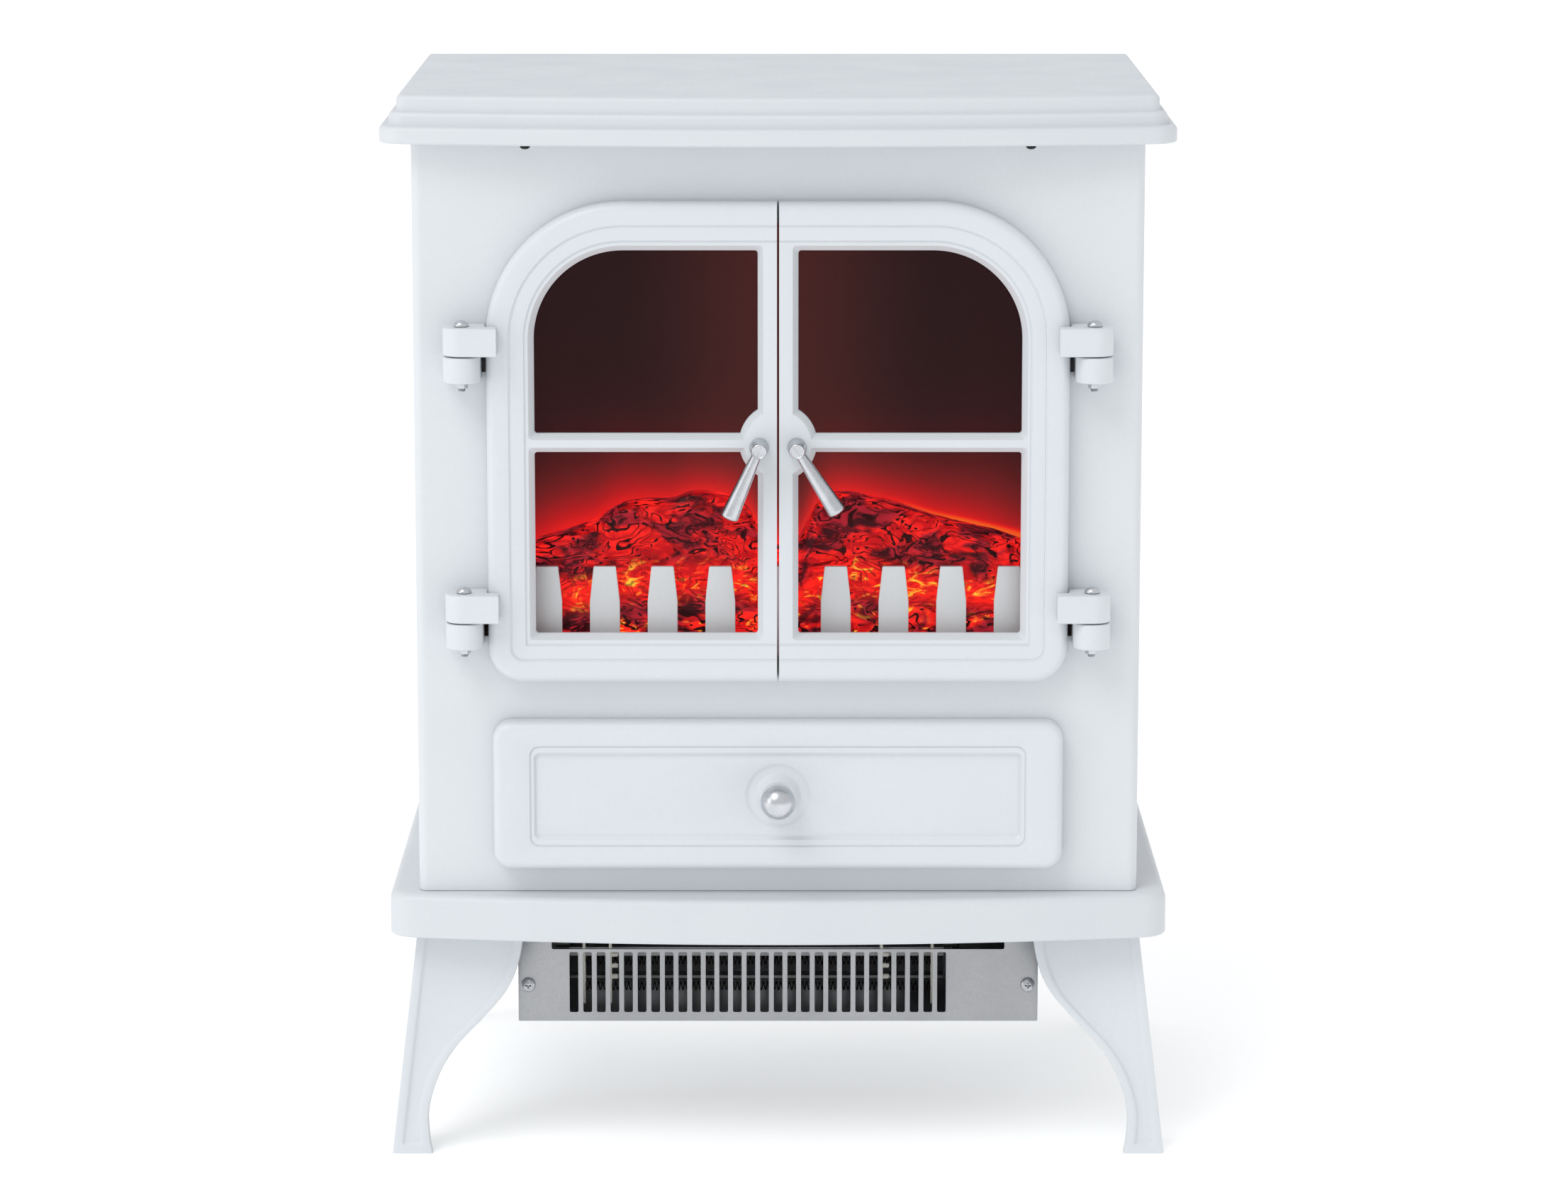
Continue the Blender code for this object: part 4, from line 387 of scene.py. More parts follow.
def silver_plate():
    """Satin zinc plate on turned handles, pins and the ball: a cloudy sheen with a fine blasted grain."""
    material, tree, shader, place = new_material("satin_plated_zinc", "#C8CACE", 0.28, 1.0)
    cloud = add(tree, "TexNoise", {"Vector": place, "Scale": 1 / (6 * MM), "Detail": 3.0})
    fleck = add(tree, "TexNoise", {"Vector": place, "Scale": 1 / (0.5 * MM), "Detail": 1.0})
    cloudy = add(tree, "MapRange", {"Value": cloud, "From Min": 0.3, "From Max": 0.7}, **EASED)
    tone = add(tree, "Mix", {SHARE: cloudy, FIRST: "#CDCFD3", SECOND: "#C1C4C8"}, MIXED, **COLOURS)
    gloss = add(tree, "MapRange", {"Value": fleck, "From Min": 0.3, "From Max": 0.7,
                                   "To Min": 0.25, "To Max": 0.32}, **EASED)
    relief = add(tree, "Bump", {"Height": fleck, "Distance": 0.008 * MM, "Strength": 1.0})
    set_inputs(tree, shader, {"Base Color": tone, "Roughness": gloss, "Normal": relief})
    return material


def bright_zinc():
    """Bright zinc on small screws: shiny, with a faint patchy bloom."""
    material, tree, shader, place = new_material("bright_zinc_plated_steel", "#B9BBBE", 0.22, 1.0)
    cloud = add(tree, "TexNoise", {"Vector": place, "Scale": 1 / (1.5 * MM), "Detail": 2.0})
    tone = add(tree, "Mix", {SHARE: cloud, FIRST: "#C9CACC", SECOND: "#96989C"}, MIXED, **COLOURS)
    gloss = add(tree, "MapRange", {"Value": cloud, "From Min": 0.3, "From Max": 0.7,
                                   "To Min": 0.16, "To Max": 0.34}, **EASED)
    set_inputs(tree, shader, {"Base Color": tone, "Roughness": gloss})
    return material


def black_screw_steel():
    """Black-oxide screw: dull, slightly oily black."""
    material, tree, shader, place = new_material("black_oxide_steel", "#17181A", 0.4, 0.6)
    grain = add(tree, "TexNoise", {"Vector": place, "Scale": 1 / (0.8 * MM), "Detail": 2.0})
    tone = add(tree, "Mix", {SHARE: grain, FIRST: "#121315", SECOND: "#232527"}, MIXED, **COLOURS)
    set_inputs(tree, shader, {"Base Color": tone})
    return material


def toughened_glass():
    """Toughened door glass, faintly smoked: nearly clear, with a weak shine and a little haze of handling."""
    material, tree, shader, place = new_material("smoked_toughened_glass", "#1C1110", 0.03, ior=1.52)
    haze = add(tree, "TexNoise", {"Vector": place, "Scale": 1 / (30 * MM), "Detail": 3.0})
    gloss = add(tree, "MapRange", {"Value": haze, "From Min": 0.35, "From Max": 0.7,
                                   "To Min": 0.02, "To Max": 0.06}, **EASED)
    set_inputs(tree, shader, {"Alpha": 0.09, "Specular IOR Level": 0.12, "Roughness": gloss})
    return material


def fired_ceramic():
    """Unglazed steatite beads: chalky off-white with fine pores."""
    material, tree, shader, place = new_material("unglazed_steatite", "#EAE6DC", 0.7, ior=1.55)
    pores = add(tree, "TexNoise", {"Vector": place, "Scale": 1 / (0.6 * MM), "Detail": 3.0})
    porous = add(tree, "MapRange", {"Value": pores, "From Min": 0.3, "From Max": 0.7}, **EASED)
    tone = add(tree, "Mix", {SHARE: porous, FIRST: "#EFECE4", SECOND: "#DAD5C8"}, MIXED, **COLOURS)
    relief = add(tree, "Bump", {"Height": pores, "Distance": 0.06 * MM, "Strength": 1.0})
    set_inputs(tree, shader, {"Base Color": tone, "Normal": relief})
    return material


def heating_wire():
    """Oxidised resistance wire: brown-grey, half matt."""
    material, tree, shader, place = new_material("oxidised_resistance_wire", "#2B2522", 0.6, 1.0)
    cloud = add(tree, "TexNoise", {"Vector": place, "Scale": 1 / (2 * MM), "Detail": 2.0})
    tone = add(tree, "Mix", {SHARE: cloud, FIRST: "#332C28", SECOND: "#221D1B"}, MIXED, **COLOURS)
    set_inputs(tree, shader, {"Base Color": tone})
    return material


def crimped_foil():
    """Aluminium foil on the spindle vanes: bright, with small creases that throw the light about."""
    material, tree, shader, place = new_material("crimped_aluminium_foil", "#D2D3D5", 0.18, 1.0)
    crease = add(tree, "TexVoronoi", {"Vector": place, "Scale": 1 / (4 * MM)}, feature="F1")
    tone = add(tree, "Mix", {SHARE: crease, FIRST: "#DCDDDF", SECOND: "#B8BABD"}, MIXED, **COLOURS)
    relief = add(tree, "Bump", {"Height": crease, "Distance": 0.5 * MM, "Strength": 1.0})
    set_inputs(tree, shader, {"Base Color": tone, "Normal": relief})
    return material


def opal_lamp():
    """Opal lamp glass, lit from inside: a warm milky white with paler and deeper patches."""
    material, tree, shader, place = new_material("opal_lamp_glass", "#F4EBDA", 0.25)
    cloud = add(tree, "TexNoise", {"Vector": place, "Scale": 1 / (8 * MM), "Detail": 1.0})
    warm = add(tree, "Mix", {SHARE: cloud, FIRST: "#FFD9A0", SECOND: "#FFC37A"}, MIXED, **COLOURS)
    milky = add(tree, "Mix", {SHARE: cloud, FIRST: "#F6EEDF", SECOND: "#EBDFC8"}, MIXED, **COLOURS)
    set_inputs(tree, shader, {"Base Color": milky, "Emission Color": warm, "Emission Strength": 0.6})
    return material


def flame_acrylic():
    """Frosted acrylic screen whose light is painted on as its own glow: red where the hidden lamps light it
    above the logs, with an orange rim of painted light at the right, fading up to a dim brown glow that is
    brightest in the middle. Its dark base colour is a little redder where that glow is strongest. The mesh
    holds how far each point is above the logs, in metres, and how far it is to the right of the middle, as a
    share of the half width."""
    material, tree, shader, place = new_material("frosted_acrylic_screen", "#1A0F0F", 0.6)
    above = add(tree, "Attribute", {}, "Fac", attribute_name="above_logs")
    side = add(tree, "Attribute", {}, "Fac", attribute_name="off_centre")
    away = add(tree, "Math", {0: side}, operation="ABSOLUTE")
    reach = add(tree, "MapRange", {"Value": away, "From Min": 0.3, "From Max": 0.95,
                                   "To Min": -11 * MM, "To Max": -15.5 * MM}, **EASED)
    # Painted light: the red glow of the lamps fades with height above the logs
    climb = add(tree, "Math", {0: above, 1: reach}, operation="DIVIDE")
    fade = add(tree, "Math", {0: climb}, operation="EXPONENT")
    cloud = add(tree, "TexNoise", {"Vector": place, "Scale": 1 / (60 * MM), "Detail": 2.0})
    ripple = add(tree, "MapRange", {"Value": cloud, "From Min": 0.3, "From Max": 0.7,
                                    "To Min": 0.92, "To Max": 1.08}, **EASED)
    edge = add(tree, "MapRange", {"Value": away, "From Min": 0.78, "From Max": 1.0,
                                  "To Min": 1.0, "To Max": 0.62}, **EASED)
    capped = add(tree, "Math", {0: fade, 1: 1.15}, operation="MINIMUM")
    rippled = add(tree, "Math", {0: capped, 1: ripple}, operation="MULTIPLY")
    lamp_glow = add(tree, "Math", {0: rippled, 1: edge}, operation="MULTIPLY")
    # Painted light: an orange rim of light just above the logs at the right
    right_side = add(tree, "MapRange", {"Value": side, "From Min": 0.3, "From Max": 0.75}, **EASED)
    at_logs = add(tree, "MapRange", {"Value": above, "From Min": 0.0, "From Max": 5.0 * MM,
                                     "To Min": 1.0, "To Max": 0.0}, **EASED)
    rim = add(tree, "Math", {0: right_side, 1: at_logs}, operation="MULTIPLY")
    rim_glow = add(tree, "Math", {0: rim, 1: 0.45}, operation="MULTIPLY")
    all_glow = add(tree, "Math", {0: lamp_glow, 1: 0.62, 2: rim_glow}, operation="MULTIPLY_ADD")
    glow = add(tree, "ValToRGB", {"Fac": all_glow})
    stops = ((0.0, "#000000"), (0.12, "#740D0E"), (0.35, "#C00B0F"), (0.62, "#FA0E0C"), (0.95, "#FF6A14"))
    ramp = glow.node.color_ramp
    for i, (position, code) in enumerate(stops):
        stop = ramp.elements[i] if i < 2 else ramp.elements.new(position)
        stop.position = position
        stop.color = colour(code)
    # Painted light: a dim brown glow over the whole screen, brightest in the middle and fading towards the
    # sides
    dim_towards_sides = add(tree, "MapRange", {"Value": away, "From Min": 0.0, "From Max": 0.62}, **EASED)
    faint_glow = add(tree, "Mix", {SHARE: dim_towards_sides, FIRST: "#4A2322", SECOND: "#2A1719"}, MIXED, **COLOURS)
    lit = add(tree, "Mix", {SHARE: 1.0, FIRST: faint_glow, SECOND: glow}, MIXED, blend_type="ADD", **COLOURS)
    # The dark base colour is also drawn a little redder where the painted glow is strongest
    sheet = add(tree, "Mix", {SHARE: fade, FIRST: "#120A0A", SECOND: "#200808"}, MIXED, **COLOURS)
    set_inputs(tree, shader, {"Base Color": sheet, "Specular IOR Level": 0.05,
                              "Emission Color": lit, "Emission Strength": 1.0})
    return material


def glowing_resin():
    """Translucent cast resin logs lit from beneath, with the lamps' light painted on as the resin's own glow:
    red, with painted shade in maroon patches at the top of the pile and at its foot, black wavy lines where
    the moulded bark bends the light, and painted light in yellow where a lamp shines through. The mesh holds
    the height of each point as a share of the pile's."""
    material, tree, shader, place = new_material("cast_translucent_resin", "#2A0605", 0.3, ior=1.5)
    along_logs = add(tree, "Mapping", {"Vector": place, "Scale": (0.5, 1.0, 1.0)})
    swirl = add(tree, "TexNoise", {"Vector": along_logs, "Scale": 1 / (12 * MM), "Detail": 2.0,
                                   "Distortion": 1.0})
    fine = add(tree, "TexNoise", {"Vector": along_logs, "Scale": 1 / (5 * MM), "Detail": 3.0,
                                  "Roughness": 0.6, "Distortion": 0.8})
    patch = add(tree, "TexNoise", {"Vector": along_logs, "Scale": 1 / (15 * MM), "Detail": 3.0,
                                   "Roughness": 0.55, "Distortion": 0.6})
    flow = add(tree, "TexNoise", {"Vector": along_logs, "Scale": 1 / (8 * MM), "Detail": 4.0,
                                  "Roughness": 0.6, "Distortion": 2.2})
    height = add(tree, "Attribute", {}, "Fac", attribute_name="log_height")
    upper = add(tree, "MapRange", {"Value": height, "From Min": 0.54, "From Max": 0.68}, **EASED)
    foot = add(tree, "MapRange", {"Value": height, "From Min": 0.32, "From Max": 0.48,
                                  "To Min": 1.0, "To Max": 0.0}, **EASED)
    ends = add(tree, "Math", {0: upper, 1: foot}, operation="MAXIMUM")
    middle = add(tree, "Math", {0: 1.0, 1: ends}, operation="SUBTRACT")

    # Black wavy lines: the rings of the swirl, broken up by the fine grain
    many = add(tree, "Math", {0: swirl, 1: 8.0}, operation="MULTIPLY")
    rings = add(tree, "Math", {0: many}, operation="FRACT")
    off_ring = add(tree, "Math", {0: rings, 1: 0.5}, operation="SUBTRACT")
    edge = add(tree, "Math", {0: off_ring}, operation="ABSOLUTE")
    line_width = add(tree, "MapRange", {"Value": fine, "From Min": 0.42, "From Max": 0.58,
                                        "To Min": 0.01, "To Max": 0.13}, **EASED)
    off_line = add(tree, "Math", {0: edge, 1: line_width}, operation="SUBTRACT")
    outside = add(tree, "MapRange", {"Value": off_line, "From Min": 0.0, "From Max": 0.07}, **EASED)

    # Painted shade: darker maroon patches at the top of the pile and at its foot, where less lamp light comes
    # through
    top_patch = add(tree, "MapRange", {"Value": patch, "From Min": 0.44, "From Max": 0.56,
                                       "To Min": 0.15}, **EASED)
    low_patch = add(tree, "MapRange", {"Value": patch, "From Min": 0.42, "From Max": 0.54,
                                       "To Min": 0.1}, **EASED)
    top_shade = add(tree, "Math", {0: upper, 1: top_patch}, operation="MULTIPLY")
    low_shade = add(tree, "Math", {0: foot, 1: low_patch}, operation="MULTIPLY")
    thick = add(tree, "Math", {0: top_shade, 1: low_shade}, operation="MAXIMUM")
    thin_grain = add(tree, "MapRange", {"Value": fine, "From Min": 0.35, "From Max": 0.62}, **EASED)
    deep_grain = add(tree, "MapRange", {"Value": fine, "From Min": 0.4, "From Max": 0.62}, **EASED)
    red = add(tree, "Mix", {SHARE: thin_grain, FIRST: "#C20C14", SECOND: "#FF2218"}, MIXED, **COLOURS)
    maroon = add(tree, "Mix", {SHARE: deep_grain, FIRST: "#2C070E", SECOND: "#9C1A28"}, MIXED, **COLOURS)
    body = add(tree, "Mix", {SHARE: thick, FIRST: red, SECOND: maroon}, MIXED, **COLOURS)

    # Painted light: lamps shining through below the upper zone, wherever the resin is thin
    unlit = add(tree, "Math", {0: thick, 1: upper}, operation="MAXIMUM")
    lamp_lit = add(tree, "Math", {0: 1.0, 1: unlit}, operation="SUBTRACT")
    streaks = add(tree, "MapRange", {"Value": flow, "From Min": 0.51, "From Max": 0.64}, **EASED)
    spark = add(tree, "Math", {0: lamp_lit, 1: streaks}, operation="MULTIPLY")
    brightest_shine = add(tree, "MapRange", {"Value": flow, "From Min": 0.57, "From Max": 0.7}, **EASED)
    amber = add(tree, "Mix", {SHARE: brightest_shine, FIRST: "#FF4A18", SECOND: "#FFC63A"}, MIXED, **COLOURS)
    lit = add(tree, "Mix", {SHARE: spark, FIRST: body, SECOND: amber}, MIXED, **COLOURS)
    soft_lines = add(tree, "MapRange", {"Value": patch, "From Min": 0.42, "From Max": 0.6,
                                        "To Min": 0.3, "To Max": 0.9}, **EASED)
    middle_lines = add(tree, "Math", {0: middle, 1: soft_lines}, operation="MULTIPLY")
    clear = add(tree, "Math", {0: outside, 1: middle_lines}, operation="MAXIMUM")
    veined = add(tree, "Mix", {SHARE: clear, FIRST: "#120205", SECOND: lit}, MIXED, **COLOURS)
    relief = add(tree, "Bump", {"Height": swirl, "Distance": 1.5 * MM, "Strength": 1.0})
    # Painted light: the lamps' light through the resin is drawn as the logs' own glow
    set_inputs(tree, shader, {"Specular IOR Level": 0.1, "Emission Color": veined, "Emission Strength": 1.3,
                              "Normal": relief})
    return material


SILVER = silver_plate()
BRIGHT_ZINC = bright_zinc()
BLACK_STEEL = black_screw_steel()
GLASS = toughened_glass()
CERAMIC = fired_ceramic()
WIRE = heating_wire()
FOIL = crimped_foil()
OPAL = opal_lamp()
SCREEN = flame_acrylic()
RESIN = glowing_resin()


# ------------------------------------------------------------------------------------- top and base boards

PLATE_BOW = 18 * MM
PLATE_CORNER = 15 * MM
TIER_SHARES = (0.372, 0.288, 0.34)
TIER_INSETS = (0.0, 5.2 * MM, 9.2 * MM)
TIER_ROUND = 2.6 * MM
TIER_COVE = 0.8 * MM
BASE_ROUND = 4.5 * MM
BASE_FOOT_ROUND = 0.8 * MM
TIGHTEST_CORNER = 1.5 * MM


def board_outline(low, high, shrink):
    """Plan of the base or top board: a bowed front edge, round front corners and tighter rear corners."""
    half = high.x - shrink
    corner = max(PLATE_CORNER - shrink, TIGHTEST_CORNER)
    rear_corner = max(PLATE_CORNER / 2 - shrink / 2, TIGHTEST_CORNER)
    back = high.y - shrink

    def bow(x):
        return low.y + shrink + PLATE_BOW * (x / half) ** 2

    lean = math.degrees(math.atan(2 * PLATE_BOW / half))
    end_x = half - corner + corner * math.sin(math.radians(lean))
    centre_y = bow(end_x) + corner * math.cos(math.radians(lean))
    right = arc(half - corner, centre_y, corner, -90 + lean, 0, 12)
    right += arc(half - rear_corner, back - rear_corner, rear_corner, 0, 90, 8)
    steps = 36
    front = [-end_x + 2 * end_x * i / steps for i in range(1, steps)]
    return right + mirrored(right) + [(x, bow(x)) for x in front]


def board(name, low, high, sections):
    """A board whose edge runs through sections of (inset, height), bottom to top."""
    shape = Shape(lying_flat)
    loops = [shape.loop(board_outline(low, high, shrink), height) for shrink, height in sections]
    shape.walls(loops)
    shape.cap(loops[0])
    shape.cap(loops[-1])
    return make_object(name, shape, LACQUER)


def make_top_board():
    """Three rounded steps, each with a small cove where it meets the one below."""
    low, high = span("top_plate")
    sections = [(TIER_ROUND / 3, low.z), (0.0, low.z + TIER_ROUND / 3)]
    level = low.z
    for tier_inset, share in zip(TIER_INSETS, TIER_SHARES):
        if tier_inset:
            for out, up in ((1.0, 0.0), (0.3, 0.3), (0.0, 1.0)):
                sections.append((tier_inset - TIER_COVE * out, level + TIER_COVE * up))
        level += share * (high.z - low.z)
        sections += quarter_round(tier_inset, level, TIER_ROUND, 6, -1)
    made = board("top_board", low, high, sections)
    # The flat of the top takes the darker stippled lacquer: painted shade, for a face turned up away from the
    # main light
    made.data.materials.append(SHADED_STIPPLE)
    for face in made.data.polygons:
        flat_top_painted_shade = face.normal.z > 0.99 and face.center.z > high.z - 0.1 * MM
        face.material_index = int(flat_top_painted_shade)
    settle(made, "root", "white_board", "top_plate")


def make_base_board():
    """A thick board with one rounded upper edge."""
    low, high = span("base_plate")
    sections = [(BASE_FOOT_ROUND, low.z), (0.0, low.z + BASE_FOOT_ROUND)]
    sections += quarter_round(0, high.z, BASE_ROUND, 8, -1)
    settle(board("base_board", low, high, sections), "root", "white_board", "base_plate")


# --------------------------------------------------------------------------------------------------- legs

LEG_WAIST = 17.3 * MM
LEG_FOOT_WIDTH = 22 * MM
LEG_TOP_WIDTH = 58 * MM
LEG_WALL = 5 * MM
LEG_RIM = 5 * MM
LEG_RECESS = 1.4 * MM
LEG_FLARE = 14 * MM
LEG_SOFT = 0.9 * MM


def leg_width(share):
    """Width of a leg's face: a small foot, a waist above it, and an S-curve out to full width at the top."""
    spread_out = LEG_TOP_WIDTH - LEG_WAIST
    shape = ((0.0, LEG_FOOT_WIDTH), (0.08, LEG_WAIST + 0.4 * (LEG_FOOT_WIDTH - LEG_WAIST)), (0.2, LEG_WAIST),
             (0.36, LEG_WAIST + 0.09 * spread_out), (0.49, LEG_WAIST + 0.29 * spread_out),
             (0.61, LEG_WAIST + 0.59 * spread_out), (0.73, LEG_WAIST + 0.85 * spread_out),
             (0.85, LEG_WAIST + 0.97 * spread_out), (1.0, LEG_TOP_WIDTH))
    return smooth_through(shape, share)


def leg_section(width, recess):
    """Plan of a leg from its corner: two arms, each sunk between two rounded rims."""
    soft = LEG_SOFT
    far = width - LEG_RIM
    arm = [(soft, 0.08 * MM), (soft * 2, 0.0), (LEG_RIM - soft, 0.0), (LEG_RIM, recess * 0.2)]
    arm += [(LEG_RIM + soft * 0.8, recess * 0.85), (LEG_RIM + soft * 1.6, recess)]
    arm += [(far - soft * 1.6, recess), (far - soft * 0.8, recess * 0.85)]
    arm += [(far, recess * 0.2), (far + soft, 0.0), (width - soft * 1.4, 0.0)]
    arm += [(width - soft * 0.4, soft * 0.3), (width, soft * 1.2), (width, LEG_WALL)]
    other = [(q, p) for p, q in reversed(arm)]
    return [(0.25 * MM, 0.25 * MM)] + arm + [(LEG_WALL, LEG_WALL)] + other


def make_legs():
    """Cast legs: each is lofted level by level from the foot, with a raised rim round its sunk face."""
    for end, side_y in (("front", -1), ("rear", 1)):
        for hand, side_x in (("left", -1), ("right", 1)):
            node = f"{end}_{hand}_leg"
            low, high = span(node)
            height = high.z - low.z
            corner_x = max(-low.x, high.x) - LEG_FLARE
            corner_y = (low.y + LEG_FLARE) if side_y < 0 else (high.y - LEG_FLARE)
            steps = 44
            start = LEG_RIM + 1.6 * MM
            levels = [(0.0, 0.0), (0.3 * MM, 0.0), (LEG_RIM - 0.9 * MM, 0.0)]
            levels += [(LEG_RIM, 0.25), (LEG_RIM + 0.8 * MM, 0.9), (start, 1.0)]
            levels += [(start + (height - start) * i / steps, 1.0) for i in range(1, steps + 1)]
            shape = Shape(lying_flat)
            loops = []
            for level, sunk in levels:
                share = level / height
                drop = LEG_FLARE * (1 - share)
                outline = [(side_x * (corner_x + drop - p), corner_y + side_y * (drop - q))
                           for p, q in leg_section(leg_width(share), LEG_RECESS * sunk)]
                loops.append(shape.loop(outline, level))
            shape.walls(loops)
            shape.cap(loops[0])
            shape.cap(loops[-1])
            settle(make_object(f"cast_{end}_{hand}_leg", shape, CAST_COAT, 40), "root", "white_enamel", node)


# -------------------------------------------------------------------------------------------------- doors

DOOR_LOW, DOOR_HIGH = span("right_door_frame")
SPLIT = DOOR_LOW.x
DOORS_HALF = DOOR_HIGH.x
DOORS_SILL = DOOR_LOW.z
DOORS_TOP = DOOR_HIGH.z
DOOR_FACE = DOOR_LOW.y
DOOR_REAR = DOOR_HIGH.y
DOOR_ARCH = 72.5 * MM
DOOR_FOOT_CORNER = 19 * MM
BORDER = 12.6 * MM
STEP_BAND = 8 * MM
STEP_DROP = 0.8 * MM
DOOR_FLAT = DOOR_FACE + 2 * STEP_DROP
WINDOW_SIDE = 25.2 * MM
WINDOW_TOP = 25.7 * MM
WINDOW_FOOT = 25.9 * MM
WINDOW_STILE = 10.7 * MM
WINDOW_CORNER = 1.6 * MM
CROSSBAR = 10 * MM
CROSSBAR_CENTRE = DOORS_SILL + 128.8 * MM
PAD_RADIUS = 20.6 * MM
GLASS_POCKET = 3.3 * MM
GLASS_LAP = 6.3 * MM
HANDLE_X = 10 * MM
HANDLE_Z = CROSSBAR_CENTRE - 1.8 * MM
DOOR_ROUND = 4.6 * MM
DOOR_REAR_ROUND = 0.5 * MM
SPIGOT_RADIUS = 2.6 * MM


def door_edge(distance):
    """Half of the pair's outline, moved inward: from the split at the top round to the split at the foot."""
    half = DOORS_HALF - distance
    top = DOORS_TOP - distance
    foot = DOORS_SILL + distance
    arch = DOOR_ARCH - distance
    corner = max(DOOR_FOOT_CORNER - distance, 0.6 * MM)
    line = [(SPLIT, top)]
    line += arc(half - arch, top - arch, arch, 90, 0, 40)
    line += arc(half - corner, foot + corner, corner, 0, -90, 14)
    line += [(SPLIT, foot)]
    return line


def window_outline(upper, grow):
    """One window, anticlockwise, made larger by grow on every side."""
    inner = WINDOW_STILE - grow
    outer = DOORS_HALF - WINDOW_SIDE + grow
    corner = WINDOW_CORNER + 0.2 * grow
    bar = CROSSBAR / 2 - grow
    radius = PAD_RADIUS - grow
    reach_z = math.degrees(math.acos(inner / radius))
    reach_x = math.degrees(math.asin(bar / radius))
    if upper:
        top = DOORS_TOP - WINDOW_TOP + grow
        foot = CROSSBAR_CENTRE + bar
        arch = DOOR_ARCH - WINDOW_SIDE + grow
        line = arc(outer - corner, foot + corner, corner, -90, 0, 6)
        line += arc(outer - arch, top - arch, arch, 0, 90, 36)
        line += arc(inner + corner, top - corner, corner, 90, 180, 6)
        line += arc(0, CROSSBAR_CENTRE, radius, reach_z, reach_x, 14)
        return line
    top = CROSSBAR_CENTRE - bar
    foot = DOORS_SILL + WINDOW_FOOT - grow
    line = arc(outer - corner, top - corner, corner, 90, 0, 6)
    line += arc(outer - corner, foot + corner, corner, 0, -90, 6)
    line += arc(inner + corner, foot + corner, corner, -90, -180, 6)
    line += arc(0, CROSSBAR_CENTRE, radius, -reach_z, -reach_x, 14)
    return list(reversed(line))


def pocket_outline():
    """The rebate behind both windows that holds the pane."""
    inner = WINDOW_STILE - GLASS_LAP
    outer = DOORS_HALF - WINDOW_SIDE + GLASS_LAP
    top = DOORS_TOP - WINDOW_TOP + GLASS_LAP
    foot = DOORS_SILL + WINDOW_FOOT - GLASS_LAP
    arch = DOOR_ARCH - WINDOW_SIDE + GLASS_LAP
    return [(inner, foot), (outer, foot)] + arc(outer - arch, top - arch, arch, 0, 90, 24) + [(inner, top)]


def make_door_frame(side, hand):
    """A cast frame: rounded outer edge, two fine steps inward, and bevelled windows that meet in mitres."""
    pocket_depth = DOOR_REAR - GLASS_POCKET
    shape = Shape(lambda u, v, depth: (side * u, depth, v))
    step = DOOR_FACE + STEP_DROP
    sections = [(DOOR_REAR_ROUND, DOOR_REAR), (0.0, DOOR_REAR - DOOR_REAR_ROUND)]
    sections += [(DOOR_ROUND * (1 - math.cos(a)), DOOR_FACE + DOOR_ROUND * (1 - math.sin(a)))
                 for a in (math.pi / 2 * i / 9 for i in range(10))]
    lip = BORDER - 0.9 * MM
    sections += [(lip - 0.6 * MM, DOOR_FACE), (lip, DOOR_FACE + 0.15 * MM), (lip + 0.3 * MM, step)]
    sections += [(BORDER, step + 0.25 * MM), (BORDER + 0.4 * MM, step)]
    lip = BORDER + STEP_BAND - 0.7 * MM
    sections += [(lip - 0.4 * MM, step), (lip, step + 0.1 * MM), (lip + 0.3 * MM, DOOR_FLAT)]
    sections += [(lip + 0.7 * MM, DOOR_FLAT + 0.2 * MM), (lip + 1.1 * MM, DOOR_FLAT)]
    rings = [shape.loop(door_edge(distance), depth, False) for distance, depth in sections]
    shape.walls(rings, False)
    shape.cap([ring[0] for ring in rings] + [ring[-1] for ring in reversed(rings)])
    spigot = circle(HANDLE_X, HANDLE_Z, SPIGOT_RADIUS, 24)
    spigot_front = shape.loop(spigot, DOOR_FLAT)
    spigot_back = shape.loop(spigot, pocket_depth)
    shape.wall(spigot_front, spigot_back)
    lips = []
    floors = []
    for upper in (True, False):
        bevel = [(3.4 * MM, DOOR_FLAT), (3.0 * MM, DOOR_FLAT + 0.12 * MM), (2.7 * MM, DOOR_FLAT + 0.45 * MM),
                 (0.5 * MM, DOOR_FLAT + 3.9 * MM), (0.0, DOOR_FLAT + 4.6 * MM), (0.0, pocket_depth)]
        loops = [shape.loop(window_outline(upper, grow), depth) for grow, depth in bevel]
        shape.walls(loops)
        lips.append(loops[0])
        floors.append(loops[-1])
    shape.cap(rings[-1], spigot_front, *lips)
    pocket_floor = shape.loop(pocket_outline(), pocket_depth)
    pocket_mouth = shape.loop(pocket_outline(), DOOR_REAR)
    shape.wall(pocket_floor, pocket_mouth)
    shape.cap(pocket_floor, spigot_back, *floors)
    shape.cap(rings[0], pocket_mouth)
    made = make_object(f"cast_{hand}_door", shape, CAST_COAT, 24)
    settle(made, f"{hand}_door", "white_enamel", f"{hand}_door_frame")


BOSS_LENGTH = 15 * MM
LEVER_LENGTH = 39.8 * MM
LEVER_SET_BACK = 8.6 * MM
ROLLED_END = 1.6 * MM


